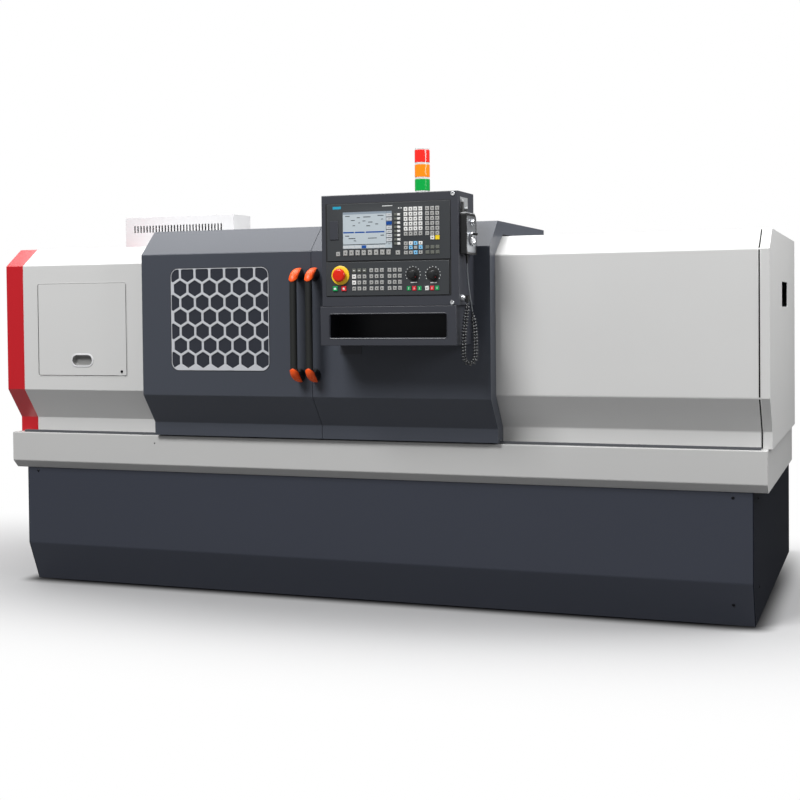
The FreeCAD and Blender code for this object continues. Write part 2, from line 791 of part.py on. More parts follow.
def tool_turret():
    """Four-way tool post: a fixed-height head on a round base, and one tool in its slot."""
    centre = (CARRIAGE_X, TURRET_Y)
    base = rod("z", CROSS_TOP + SLIDE_GAP, CROSS_TOP + TURRET_BASE_T, centre, TURRET_BASE_R)
    low = CROSS_TOP + TURRET_BASE_T
    head = box(
        CARRIAGE_X - TURRET_HALF, CARRIAGE_X + TURRET_HALF, TURRET_Y - TURRET_HALF,
        TURRET_Y + TURRET_HALF, low, TURRET_TOP,
    )
    body = join(base, head)
    slot_low = SPINDLE_Z - TOOL_SIZE
    depth = TURRET_SLOT_D
    for i in range(4):
        cut = box(
            CARRIAGE_X - TURRET_HALF - 1, CARRIAGE_X + TURRET_HALF + 1,
            TURRET_Y + TURRET_HALF - depth, TURRET_Y + TURRET_HALF + 1,
            slot_low, SPINDLE_Z + 4.0,
        )
        cut.rotate(V(CARRIAGE_X, TURRET_Y, 0), V(0, 0, 1), 90.0 * i)
        body = body.cut(cut)
    tip = TURRET_Y + TURRET_HALF + TOOL_OUT
    front = TURRET_Y + TURRET_HALF
    tool = prism(
        "z",
        [
            (CARRIAGE_X - TOOL_SIZE, front - depth),
            (CARRIAGE_X, front - depth),
            (CARRIAGE_X, tip - 18.0),
            (CARRIAGE_X - 12.0, tip),
            (CARRIAGE_X - TOOL_SIZE, tip - 10.0),
        ],
        slot_low,
        SPINDLE_Z,
    )
    return Part.makeCompound([body, tool])


def z_ball_screw():
    left = BULKHEAD + 20.0
    right = BED_X[1] - SUPPORT_T + 10.0 + SUPPORT_T
    return rod("x", left + 2, right - 2, (Z_SCREW_Y, Z_SCREW_Z), Z_SCREW_R)


def z_servo_motor():
    """Square servo motor flanged to the right-hand screw support."""
    x0 = BED_X[1] + 10.0
    half = 62.0
    flange = box(
        x0, x0 + 12, Z_SCREW_Y - half, Z_SCREW_Y + half, Z_SCREW_Z - half, Z_SCREW_Z + half
    )
    body = round_box(
        "x", (Z_SCREW_Y - half + 4, Z_SCREW_Y + half - 4),
        (Z_SCREW_Z - half + 4, Z_SCREW_Z + half - 4), (x0 + 12, x0 + 190), 12.0,
    )
    return join(flange, body)


def x_ball_screw():
    return rod(
        "y", 2 - CARRIAGE_HALF_Y, CARRIAGE_HALF_Y - 2, (CARRIAGE_X, X_SCREW_Z), X_SCREW_R
    )


def x_servo_motor():
    """Square servo motor flanged to the back of the saddle."""
    half = 45.0
    y0 = CARRIAGE_HALF_Y
    z0 = X_SCREW_Z - half
    z1 = X_SCREW_Z + half
    flange = box(CARRIAGE_X - half, CARRIAGE_X + half, y0, y0 + 10, z0, z1)
    body = round_box(
        "y", (CARRIAGE_X - half + 3, CARRIAGE_X + half - 3), (z0 + 3, z1 - 3),
        (y0 + 10, y0 + 150), 10.0,
    )
    return join(flange, body)


# ---- tailstock -------------------------------------------------------------------------------
def tailstock_body():
    x0, x1 = TAIL_X
    low = BED_TOP + WAY_GAP
    base = box(x0, x1, -TAIL_HALF, TAIL_HALF, low, TAIL_BASE_TOP)
    column = box(x0, x1, -COLUMN_HALF, COLUMN_HALF, TAIL_BASE_TOP, SPINDLE_Z)
    barrel = rod("x", x0 - 10, x1, (0.0, SPINDLE_Z), BARREL_R)
    body = join(base, column, barrel)
    body = body.cut(ridge(x0 - 1, x1 + 1, 2 * WAY_GAP))
    bore_end = x1 - REAR_CAP_T
    body = body.cut(rod("x", x0 - 11, bore_end, (0.0, SPINDLE_Z), QUILL_R + RUN_GAP))
    return body.cut(rod("x", bore_end, x1 + 1, (0.0, SPINDLE_Z), TAIL_SCREW_R + RUN_GAP))


def tailstock_quill():
    """Quill bored for its screw, with a tapered centre in its nose."""
    x0, x1 = QUILL_X
    axis = (0.0, SPINDLE_Z)
    quill = rod("x", x0, x1, axis, QUILL_R)
    quill = quill.cut(rod("x", x1 - QUILL_BORE_DEPTH, x1 + 1, axis, QUILL_BORE_R))
    quill = quill.cut(rod("x", x0 - 1, x0 + CENTRE_SHANK, axis, CENTRE_SHANK_R + RUN_GAP))
    shank = rod("x", x0 - 12, x0 + CENTRE_SHANK - 2, axis, CENTRE_SHANK_R)
    collar = rod("x", x0 - 12, x0, axis, CENTRE_R)
    cone = Part.makeCone(
        0.0, CENTRE_R, CENTRE_OUT, V(x0 - 12 - CENTRE_OUT, 0, SPINDLE_Z), V(1, 0, 0)
    )
    return Part.makeCompound([quill, join(shank, collar, cone)])


def tailstock_handwheel():
    """Handwheel with spokes and a crank grip on the quill screw."""
    axis = (0.0, SPINDLE_Z)
    x0 = TAIL_X[1] + 14.0
    x1 = x0 + HANDWHEEL_T
    rim = rod("x", x0, x1, axis, HANDWHEEL_R)
    rim = rim.cut(rod("x", x0 - 1, x1 + 1, axis, HANDWHEEL_R - HANDWHEEL_RIM))
    screw = rod("x", QUILL_X[1] - TAIL_SCREW_IN, x1, axis, TAIL_SCREW_R)
    hub = rod("x", TAIL_X[1] + 2.0, x1, axis, 2 * TAIL_SCREW_R)
    spokes = []
    for i in range(3):
        spoke = box(x0 + 4, x1 - 4, -8, 8, SPINDLE_Z, SPINDLE_Z + HANDWHEEL_R - 5)
        spoke.rotate(V(0, 0, SPINDLE_Z), V(1, 0, 0), 120.0 * i)
        spokes.append(spoke)
    grip = rod("x", x1 - 2, x1 + 60, (0.0, SPINDLE_Z + HANDWHEEL_R - HANDWHEEL_RIM / 2), 6.5)
    return join(rim, screw, hub, *spokes, grip)


# ---- fixed enclosure -------------------------------------------------------------------------
def left_end_cap():
    """Coloured end cap of the enclosure with a hole for bar stock."""
    back = CABINET_Y[0]
    wrap = folded_sheet(cover_profile(back), SHEET, CAP_LEFT, CAP_RIGHT)
    wall = prism("x", inside_profile(back), CAP_LEFT, CAP_LEFT + SHEET)
    hole = rod("x", CAP_LEFT - 1, CAP_LEFT + SHEET + 1, (0.0, SPINDLE_Z), BAR_HOLE_R)
    return join(wrap, wall).cut(hole)


def left_cover():
    """Cover over the headstock: folded sheet, partition round the spindle nose, panel mouth."""
    back = CABINET_Y[0]
    wrap = folded_sheet(cover_profile(back), SHEET, CAP_RIGHT, LEFT_COVER_RIGHT)
    wall = prism("x", inside_profile(back), BULKHEAD, BULKHEAD + SHEET)
    wall = wall.cut(
        rod("x", BULKHEAD - 1, BULKHEAD + SHEET + 1, (0.0, SPINDLE_Z), NOSE_R + NOSE_HOLE_GAP)
    )
    bed_gap = 20.0
    wall = wall.cut(
        box(
            BULKHEAD - 1, BULKHEAD + SHEET + 1, Z_SCREW_Y - SUPPORT_HALF - bed_gap,
            BED_HALF + bed_gap, TRAY_TOP - 1, BED_TOP + RIDGE_H + bed_gap,
        )
    )
    mouth = round_box("y", PANEL_X, PANEL_Z, (COVER_FRONT - 1, COVER_FRONT + 5), PANEL_R)
    return join(wrap, wall).cut(mouth)


def access_panel():
    """Flush panel with a pull slot and a lock hole, hinged along its top edge."""
    seam = PANEL_SEAM
    across = (PANEL_X[0] + seam, PANEL_X[1] - seam)
    height = (PANEL_Z[0] + seam, PANEL_Z[1] - HINGE_SEAM)
    plate = round_box("y", across, height, (COVER_FRONT, COVER_FRONT + SHEET), PANEL_R - seam)
    x, z, length, tall = PULL_SLOT
    through = (COVER_FRONT - 1, COVER_FRONT + SHEET + 1)
    plate = plate.cut(slot("y", (x, z), length, tall, through))
    x, z, radius = PANEL_LOCK
    return plate.cut(rod("y", through[0], through[1], (x, z), radius))


def right_cover():
    return folded_sheet(cover_profile(BACK - SHEET), SHEET, RIGHT_COVER_LEFT, RIGHT_COVER_RIGHT)


def right_end_cover():
    """End cap with a slotted end wall and a rear flange."""
    wrap = folded_sheet(cover_profile(BACK), SHEET, RIGHT_COVER_RIGHT, END_RIGHT)
    wall = prism("x", inside_profile(BACK), END_RIGHT - SHEET, END_RIGHT)
    rear = box(RIGHT_COVER_RIGHT, END_RIGHT, BACK - SHEET, BACK, TRAY_TOP, ROOF)
    y, z, length, tall = END_SLOT
    hole = round_box(
        "x", (y - length / 2.0, y + length / 2.0), (z - tall / 2.0, z + tall / 2.0),
        (END_RIGHT - SHEET - 1, END_RIGHT + 1), END_SLOT_R,
    )
    return join(wrap, wall, rear).cut(hole)


def rear_wall():
    """Back sheet with the fixed roof between the covers and the rear part of the partition."""
    left = CABINET_X[1] + SHEET
    back = box(left, RIGHT_COVER_RIGHT, BACK - SHEET, BACK, TRAY_TOP, ROOF)
    low = ROOF - SHEET
    roof = box(LEFT_COVER_RIGHT, RIGHT_COVER_LEFT, REAR_ROOF_FRONT, BACK, low, ROOF)
    corner = box(left, LEFT_COVER_RIGHT, CABINET_Y[0], BACK, low, ROOF)
    part = box(BULKHEAD, BULKHEAD + SHEET, CABINET_Y[0], BACK, TRAY_TOP, ROOF)
    side = box(left, left + SHEET, CABINET_Y[0], BACK, TRAY_TOP, ROOF)
    return join(back, roof, corner, part, side)


def door_rails():
    half = RAIL_W / 2.0
    lower = box(
        RAIL_LOW_X[0], RAIL_LOW_X[1], RAIL_LOW_Y - half, RAIL_LOW_Y + half, TRAY_TOP,
        TRAY_TOP + RAIL_LOW_H,
    )
    upper = box(
        RAIL_HIGH_X[0], RAIL_HIGH_X[1], RAIL_HIGH_Y - half, RAIL_HIGH_Y + half, ROOF,
        ROOF + RAIL_HIGH_H,
    )
    return Part.makeCompound([lower, upper])


# ---- doors -----------------------------------------------------------------------------------
def rail_groove(x0, x1, centre, floor, height, gap):
    """Space that a rail needs, with a gap all round."""
    half = RAIL_W / 2.0 + gap
    return box(x0, x1, centre - half, centre + half, floor - 30, floor + height + gap)


def door_shell(x0, x1):
    """Folded door skin with end returns over the covers and guide shoes on both rails."""
    profile = [
        (DOOR_STRIP, DOOR_LOW),
        (DOOR_STRIP, DOOR_STRIP_TOP),
        (DOOR_FRONT, DOOR_FRONT_LOW),
        (DOOR_FRONT, DOOR_FRONT_HIGH),
        (DOOR_RIDGE, HOOD),
        (HOOD_BACK, HOOD),
        (HOOD_BACK, HOOD_FLANGE_LOW),
    ]
    skin = folded_sheet(profile, SHEET, x0, x1)
    inner = offset_line(cover_profile(HOOD_BACK), -RETURN_GAP)
    inner[0] = (inner[0][0], DOOR_LOW)
    outline = profile[:-1] + inner[::-1]
    parts = [skin]
    for x in (x0, x1 - SHEET):
        end = prism("x", outline, x, x + SHEET)
        end = end.cut(rail_groove(x - 1, x + 5, RAIL_LOW_Y, TRAY_TOP, RAIL_LOW_H, RETURN_GAP))
        end = end.cut(rail_groove(x - 1, x + 5, RAIL_HIGH_Y, ROOF, RAIL_HIGH_H, RETURN_GAP))
        parts.append(end)
    reach = RAIL_W / 2.0 + SHOE_WALL
    for x in (x0 + 30.0, x1 - 30.0 - SHOE_LEN):
        low = box(
            x, x + SHOE_LEN, DOOR_STRIP + SHEET, RAIL_LOW_Y + reach, DOOR_LOW,
            TRAY_TOP + RAIL_LOW_H + SHOE_WALL,
        )
        high = box(
            x, x + SHOE_LEN, RAIL_HIGH_Y - reach, HOOD_BACK - SHEET, HOOD_FLANGE_LOW,
            HOOD - SHEET,
        )
        end = x + SHOE_LEN
        low = low.cut(rail_groove(x, end, RAIL_LOW_Y, TRAY_TOP, RAIL_LOW_H, SLIDE_GAP))
        high = high.cut(rail_groove(x, end, RAIL_HIGH_Y, ROOF, RAIL_HIGH_H, SLIDE_GAP))
        parts.extend([low, high])
    return join(*parts)


def left_door():
    shell = door_shell(DOOR_LEFT, DOOR_SEAM - SEAM_GAP / 2.0)
    mouth = round_box("y", WIN_X, WIN_Z, (DOOR_FRONT - 1, DOOR_FRONT + SHEET + 1), WIN_R)
    return shell.cut(mouth)


def right_door():
    return door_shell(DOOR_SEAM + SEAM_GAP / 2.0, DOOR_RIGHT)


def door_window():
    lap = GLASS_LAP
    y0 = DOOR_FRONT + SHEET
    across = (WIN_X[0] - lap, WIN_X[1] + lap)
    return round_box("y", across, (WIN_Z[0] - lap, WIN_Z[1] + lap), (y0, y0 + GLASS_T), WIN_R)


def hexagon(x, z, flats, y0, y1):
    """Hexagonal bar with a corner at the top, flats is the width across flats."""
    radius = flats / math.sqrt(3.0)
    points = []
    for i in range(6):
        angle = math.radians(60.0 * i + 30.0)
        points.append((x + radius * math.cos(angle), z + radius * math.sin(angle)))
    return prism("y", points, y0, y1)


def window_grille():
    """Pressed honeycomb guard in the window mouth, against the glass."""
    y1 = DOOR_FRONT + SHEET
    y0 = y1 - GRILLE_T
    gap = GRILLE_GAP
    across = (WIN_X[0] + gap, WIN_X[1] - gap)
    height = (WIN_Z[0] + gap, WIN_Z[1] - gap)
    plate = round_box("y", across, height, (y0, y1), WIN_R - gap)
    rim = gap + GRILLE_RIM
    field = round_box(
        "y", (WIN_X[0] + rim, WIN_X[1] - rim), (WIN_Z[0] + rim, WIN_Z[1] - rim),
        (y0 - 1, y1 + 1), WIN_R - rim,
    )
    row_pitch = HEX_PITCH * math.sqrt(3.0) / 2.0
    rows = int((WIN_Z[1] - WIN_Z[0]) / row_pitch) + 2
    columns = int((WIN_X[1] - WIN_X[0]) / HEX_PITCH) + 2
    cells = []
    for row in range(rows):
        z = WIN_Z[0] + HEX_START[1] + row * row_pitch
        shift = HEX_PITCH / 2.0 * ((row + 1) % 2)
        for column in range(columns):
            x = WIN_X[0] + HEX_START[0] + shift + (column - 1) * HEX_PITCH
            cells.append(hexagon(x, z, HEX_PITCH - HEX_WEB, y0 - 1, y1 + 1))
    holes = Part.makeCompound(cells).common(field)
    kept = [solid for solid in holes.Solids if solid.Volume > 200.0 * GRILLE_T]
    return plate.cut(Part.makeCompound(kept))


def door_handle(centre):
    """Bridge handle: an oval bar between two curved feet on the door."""
    half = HANDLE_W / 2.0
    z0, z1 = HANDLE_Z
    depth = HANDLE_BAR_D / 2.0
    bar_low = z0 + HANDLE_FOOT_H
    bar_high = z1 - HANDLE_FOOT_H
    ellipse = Part.Ellipse(V(centre, HANDLE_BAR_Y, bar_low), half, depth)
    bar = Part.Face(Part.Wire(ellipse.toShape())).extrude(V(0, 0, bar_high - bar_low))
    front = HANDLE_BAR_Y - depth - 3.0
    behind = HANDLE_BAR_Y + depth
    solids = [bar]
    for side, root in ((-1, z0), (1, z1)):
        inner = bar_low if side < 0 else bar_high
        foot = [
            (DOOR_FRONT, root - side * 10.0),
            (DOOR_FRONT, inner + side * 6.0),
            (behind, inner + side * 6.0),
            (behind, inner),
            (front, inner),
            (front, inner + side * 24.0),
            (front + 12.0, root - side * 8.0),
            (front + 36.0, root),
            (DOOR_FRONT - 20.0, root - side * 1.0),
        ]
        solids.append(prism("x", foot, centre - half, centre + half))
    return Part.makeCompound(solids)


# ---- control box -----------------------------------------------------------------------------
def control_holes():
    """Bores and mouths for the stems that pass through the button panel and the box front."""
    span = (BOX_FRONT - PANEL_T - 1, BOX_FRONT + SHEET + 1)
    tools = [rod("y", span[0], span[1], ESTOP, ESTOP_STEM_R + RUN_GAP)]
    for spot in (SPINDLE_KNOB, FEED_KNOB):
        tools.append(rod("y", span[0], span[1], spot, KNOB_SHAFT_R + RUN_GAP))
    half = KEY_SIZE / 2.0 + KEY_GAP
    for x, z in (START, STOP):
        tools.append(box(x - half, x + half, span[0], span[1], z - half, z + half))
    return Part.makeCompound(tools)


def control_box():
    x0, x1 = BOX_X
    z0, z1 = BOX_Z
    shell = box(x0, x1, BOX_FRONT, DOOR_FRONT, z0, z1)
    wall = SHEET
    shell = shell.cut(
        box(x0 + wall, x1 - wall, BOX_FRONT + wall, DOOR_FRONT + 1, z0 + wall, z1 - wall)
    )
    return shell.cut(control_holes())


def display_panel():
    """Panel plate with a recess for the screen."""
    front = BOX_FRONT - PANEL_T
    plate = box(DISPLAY_X[0], DISPLAY_X[1], front, BOX_FRONT, DISPLAY_Z[0], DISPLAY_Z[1])
    return plate.cut(
        box(SCREEN_X[0], SCREEN_X[1], front - 1, front + 2 * SCREEN_T, SCREEN_Z[0], SCREEN_Z[1])
    )


def screen():
    y1 = BOX_FRONT - PANEL_T + 2 * SCREEN_T
    return box(SCREEN_X[0], SCREEN_X[1], y1 - SCREEN_T, y1, SCREEN_Z[0], SCREEN_Z[1])


def button_panel():
    front = BOX_FRONT - PANEL_T
    plate = box(BUTTONS_X[0], BUTTONS_X[1], front, BOX_FRONT, BUTTONS_Z[0], BUTTONS_Z[1])
    return plate.cut(control_holes())


def emergency_stop():
    """Mushroom head on a stem through the panel."""
    front = BOX_FRONT - PANEL_T
    under = front - ESTOP_TRAVEL - 6.0
    stem = rod("y", under, BOX_FRONT + 16, ESTOP, ESTOP_STEM_R)
    head = rod("y", under - 16.0, under, ESTOP, ESTOP_R)
    head = head.makeFillet(7.0, [head.Edges[0] if head.Edges[0].BoundBox.YMax < under - 10
                                 else head.Edges[2]])
    return join(stem, head)


def push_key(spot):
    """Square push button that travels in its mouth in the panel."""
    x, z = spot
    half = KEY_SIZE / 2.0
    front = BOX_FRONT - PANEL_T - KEY_TRAVEL - 2.0
    return box(x - half, x + half, front, BOX_FRONT + SHEET, z - half, z + half)


def override_knob(spot):
    front = BOX_FRONT - PANEL_T
    body = rod("y", front - KNOB_H, front - SLIDE_GAP, spot, KNOB_R)
    shaft = rod("y", front - SLIDE_GAP, BOX_FRONT + SHEET + 8, spot, KNOB_SHAFT_R)
    return join(body, shaft)


def pocket_tray():
    """Open-fronted pocket under the control box, with a fixing tab on the door."""
    x0, x1 = POCKET_X
    z1 = BOX_Z[0]
    wall = SHEET
    body = box(x0, x1, BOX_FRONT, DOOR_FRONT, POCKET_LOW, z1)
    body = body.cut(
        box(x0 + wall, x1 - wall, BOX_FRONT + wall, DOOR_FRONT - wall, POCKET_LOW + wall, z1 - wall)
    )
    mouth = round_box(
        "y", POCKET_MOUTH_X, POCKET_MOUTH_Z, (BOX_FRONT - 1, BOX_FRONT + wall + 1), 8.0
    )
    tab = box(
        POCKET_TAB[0], POCKET_TAB[1], DOOR_FRONT - wall, DOOR_FRONT, POCKET_TAB[2],
        POCKET_LOW + wall,
    )
    return join(body.cut(mouth), tab)


# ---- signal tower ----------------------------------------------------------------------------
def tower_levels():
    """Bottom z of the green, orange and red lenses and the top of the red one."""
    orange = TOWER_GREEN_TOP + TOWER_RING
    red = orange + TOWER_LENS + TOWER_RING
    return TOWER_BASE_TOP, orange, red, red + TOWER_LENS


def tower_fittings():
    green, orange, red, top = tower_levels()
    rings = [
        (BOX_Z[1], green),
        (TOWER_GREEN_TOP, orange),
        (orange + TOWER_LENS, red),
        (top, TOWER_TOP),
    ]
    return Part.makeCompound([rod("z", low, high, TOWER, TOWER_RING_R) for low, high in rings])


def tower_lens(low, high):
    return rod("z", low, high, TOWER, TOWER_R)


# ---- hand pendant ----------------------------------------------------------------------------
def pendant_body():
    """Flat housing with bores for the handwheel and selector shafts."""
    body = round_box("x", PENDANT_Y, PENDANT_Z, PENDANT_X, 4.0)
    corner = box(
        PENDANT_X[0], PENDANT_X[1], PENDANT_Y[1] - PENDANT_R, PENDANT_Y[1] + 1,
        PENDANT_Z[1] - PENDANT_R, PENDANT_Z[1] + 1,
    )
    keep = rod(
        "x", PENDANT_X[0], PENDANT_X[1],
        (PENDANT_Y[1] - PENDANT_R, PENDANT_Z[1] - PENDANT_R), PENDANT_R,
    )
    body = body.cut(corner.cut(keep))
    for spot in (WHEEL_YZ, SELECTOR_YZ):
        bore = rod("x", PENDANT_X[1] - 14, PENDANT_X[1] + 1, spot, PENDANT_SHAFT_R + RUN_GAP)
        body = body.cut(bore)
    return body


def pendant_handwheel():
    """Pulse handwheel with a small crank grip."""
    x0 = PENDANT_X[1] + SLIDE_GAP
    wheel = rod("x", x0, x0 + WHEEL_T, WHEEL_YZ, WHEEL_R)
    shaft = rod("x", PENDANT_X[1] - 12, x0, WHEEL_YZ, PENDANT_SHAFT_R)
    y, z = WHEEL_YZ
    grip = rod("x", x0 + WHEEL_T, x0 + WHEEL_T + 16, (y, z + WHEEL_R * 0.6), 5.0)
    return join(wheel, shaft, grip)


def pendant_selector():
    x0 = PENDANT_X[1] + SLIDE_GAP
    knob = rod("x", x0, x0 + SELECTOR_T, SELECTOR_YZ, SELECTOR_R)
    shaft = rod("x", PENDANT_X[1] - 12, x0, SELECTOR_YZ, PENDANT_SHAFT_R)
    return join(knob, shaft)


def pendant_fittings():
    """Steel hanger with two pegs above the pendant, and the cord gland on the box side."""
    side = BOX_X[1]
    top = PENDANT_Z[1]
    plate = box(side, PENDANT_X[0], PENDANT_Y[0] + 6, PENDANT_Y[1] - 30, top - 70, top + 62)
    shelf = box(side, PENDANT_X[1] + 2, PENDANT_Y[0], PENDANT_Y[1] - 25, top, top + 3)
    pegs = []
    for y, height in ((-848.0, 50.0), (-802.0, 26.0)):
        pegs.append(rod("z", top + 3, top + height, (574.0, y), 5.0))
    hanger = join(plate, shelf, *pegs)
    x, y, z = GLAND
    body = rod("x", side, x, (y, z), GLAND_R - 1.5)
    nut = rod("x", side, side + 8, (y, z), GLAND_R + 2)
    elbow = rod("z", z - GLAND_DROP, z + GLAND_R - 1, (x, y), GLAND_R)
    return Part.makeCompound([hanger, join(body, nut, elbow)])


# ---- electrical cabinet ----------------------------------------------------------------------
def cabinet_knuckles(shift):
    """Hinge knuckles on the cabinet's rear left edge."""
    x = CABINET_X[0] - KNUCKLE_R
    y = CABINET_Y[1] + SHEET
    found = []
    for z in KNUCKLE_Z:
        low = z + shift
        found.append(rod("z", low, low + KNUCKLE_H, (x, y), KNUCKLE_R))
    return found


def cabinet_body():
    """Sheet cabinet, open at the back, with a row of louvre slots at its top front."""
    x0, x1 = CABINET_X
    y0, y1 = CABINET_Y
    shell = box(x0, x1, y0, y1, TRAY_TOP, CABINET_TOP)
    wall = SHEET
    shell = shell.cut(
        box(x0 + wall, x1 - wall, y0 + wall, y1 + 1, TRAY_TOP + wall, CABINET_TOP - wall)
    )
    pitch = (LOUVRE_X[1] - LOUVRE_X[0] - LOUVRE_W) / (LOUVRE_COUNT - 1)
    vents = []
    for i in range(LOUVRE_COUNT):
        x = LOUVRE_X[0] + i * pitch
        vents.append(box(x, x + LOUVRE_W, y0 - 1, y0 + wall + 1, LOUVRE_Z[0], LOUVRE_Z[1]))
    shell = shell.cut(Part.makeCompound(vents))
    leaves = []
    for z in KNUCKLE_Z:
        leaves.append(box(x0 - KNUCKLE_R, x0, y1 - 20, y1 + SHEET, z, z + KNUCKLE_H))
    return join(shell, *leaves, *cabinet_knuckles(0.0))


def cabinet_door():
    """Rear door on two lift-off hinges."""
    x0, x1 = CABINET_X
    y0 = CABINET_Y[1] + CABINET_DOOR_GAP
    y1 = y0 + SHEET
    plate = box(x0 + 1, x1 - 1, y0, y1, TRAY_TOP + 1, CABINET_TOP - 1)
    shift = KNUCKLE_H + CABINET_DOOR_GAP
    leaves = []
    for z in KNUCKLE_Z:
        low = z + shift
        leaves.append(box(x0 - KNUCKLE_R, x0 + 1, y0, y1, low, low + KNUCKLE_H))
    return join(plate, *leaves, *cabinet_knuckles(shift))


# ---- output ----------------------------------------------------------------------------------
GREEN_LOW, ORANGE_LOW, RED_LOW, RED_TOP = tower_levels()

NODES = {
    "bed_pedestals": bed_pedestals(),
    "base_front_panel": base_front_panel(),
    "base_side_panels": base_side_panels(),
    "chip_tray": chip_tray(),
    "coolant_unit": coolant_unit(),
    "bed": bed(),
    "headstock": headstock(),
    "main_motor": main_motor(),
    "drive_belt": drive_belt(),
    "left_end_cap": left_end_cap(),
    "left_cover": left_cover(),
    "right_cover": right_cover(),
    "right_end_cover": right_end_cover(),
    "rear_wall": rear_wall(),
    "door_rails": door_rails(),
    "cabinet_body": cabinet_body(),
    "cabinet_door": cabinet_door(),
    "z_servo_motor": z_servo_motor(),
    "spindle": spindle(),
    "chuck_body": chuck_body(),
    "motor_pulley": motor_pulley(),
    "saddle": saddle(),
    "x_servo_motor": x_servo_motor(),
    "cross_slide": cross_slide(),
    "tool_turret": tool_turret(),
    "z_ball_screw": z_ball_screw(),
    "x_ball_screw": x_ball_screw(),
    "tailstock_body": tailstock_body(),
    "tailstock_quill": tailstock_quill(),
    "tailstock_handwheel": tailstock_handwheel(),
    "access_panel": access_panel(),
    "left_door": left_door(),
    "door_window": door_window(),
    "window_grille": window_grille(),
    "left_handle": door_handle(HANDLE_LEFT_X),
    "right_door": right_door(),
    "right_handle": door_handle(HANDLE_RIGHT_X),
    "control_box": control_box(),
    "display_panel": display_panel(),
    "screen": screen(),
    "button_panel": button_panel(),
    "emergency_stop": emergency_stop(),
    "start_button": push_key(START),
    "stop_button": push_key(STOP),
    "spindle_override_knob": override_knob(SPINDLE_KNOB),
    "feed_override_knob": override_knob(FEED_KNOB),
    "pocket_tray": pocket_tray(),
    "tower_fittings": tower_fittings(),
    "green_lens": tower_lens(GREEN_LOW, TOWER_GREEN_TOP),
    "orange_lens": tower_lens(ORANGE_LOW, ORANGE_LOW + TOWER_LENS),
    "red_lens": tower_lens(RED_LOW, RED_TOP),
    "pendant_body": pendant_body(),
    "pendant_handwheel": pendant_handwheel(),
    "pendant_selector": pendant_selector(),
    "pendant_fittings": pendant_fittings(),
    "pendant_cord_tail": pipe(TAIL_ROUTE, TAIL_R, "cord tail"),
    "pendant_curly_cord": pipe(CURLY_ROUTE, CURLY_R, "curly cord"),
}
for number in range(JAW_COUNT):
    NODES[f"chuck_jaw_{number + 1}"] = chuck_jaw(number)

os.makedirs("parts", exist_ok=True)
for name, shape in NODES.items():
    shape.exportStep(f"parts/{name}.step")
print(len(NODES), "nodes")
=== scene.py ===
"""CNC flat-bed turning lathe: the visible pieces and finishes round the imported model.

Metres, +X along the spindle towards the tailstock, -Y towards the operator, +Z up.
"""

import math

import bmesh
import bpy
import numpy as np
from mathutils import Matrix, Vector


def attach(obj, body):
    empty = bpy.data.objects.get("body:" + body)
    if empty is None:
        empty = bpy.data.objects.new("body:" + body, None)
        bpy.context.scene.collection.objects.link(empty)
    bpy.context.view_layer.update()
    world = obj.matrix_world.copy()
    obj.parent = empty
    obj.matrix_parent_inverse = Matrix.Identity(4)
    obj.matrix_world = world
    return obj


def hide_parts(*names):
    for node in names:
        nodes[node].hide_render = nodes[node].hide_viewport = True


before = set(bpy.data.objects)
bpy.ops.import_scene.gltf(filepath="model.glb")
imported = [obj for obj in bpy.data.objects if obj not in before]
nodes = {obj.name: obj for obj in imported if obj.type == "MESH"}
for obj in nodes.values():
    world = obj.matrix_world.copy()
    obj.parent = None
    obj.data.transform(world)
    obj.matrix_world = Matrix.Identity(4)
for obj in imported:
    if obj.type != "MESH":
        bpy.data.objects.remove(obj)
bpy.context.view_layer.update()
MM = 0.001

# ---- Studio ----------------------------------------------------------------------------------
# A pale sweep of floor and wall under big soft lamps, with a painted contact shadow darkening the
# floor close round the base, and a camera standing at the operator's front right, its lens held
# level so that uprights stay upright.


def linear(hex_colour):
    """Linear RGBA of an sRGB hex colour: c/12.92 below 0.04045, else ((c + 0.055)/1.055)^2.4."""
    parts = np.array([int(hex_colour[i:i + 2], 16) for i in (1, 3, 5)]) / 255.0
    low = parts <= 0.04045
    rgb = np.where(low, parts / 12.92, ((parts + 0.055) / 1.055) ** 2.4)
    return (*map(float, rgb), 1.0)


def add(tree, kind, links=None, **settings):
    """Adds one node to a tree: settings name its sockets or properties, links feed its sockets."""
    made = tree.nodes.new(kind)
    for key, value in settings.items():
        if hasattr(made, key):
            setattr(made, key, value)
        else:
            made.inputs[key.replace("_", " ")].default_value = value
    for key, source in (links or {}).items():
        socket = made.inputs[key] if isinstance(key, int) else made.inputs[key.replace("_", " ")]
        tree.links.new(source, socket)
    return made


def new_material(name):
    """Empty node material with its output node; returns the material, its tree and output."""
    material = bpy.data.materials.new(name)
    material.use_nodes = True
    tree = material.node_tree
    tree.nodes.clear()
    return material, tree, tree.nodes.new("ShaderNodeOutputMaterial")


def finish_mesh(name, shape, material, smooth_below):
    """Object from a bmesh: edges that turn by less than smooth_below degrees shade smooth."""
    mesh = bpy.data.meshes.new(name)
    shape.to_mesh(mesh)
    shape.free()
    mesh.shade_smooth()
    mesh.set_sharp_from_angle(angle=math.radians(smooth_below))
    mesh.materials.append(material)
    made = bpy.data.objects.new(name, mesh)
    bpy.context.scene.collection.objects.link(made)
    return made


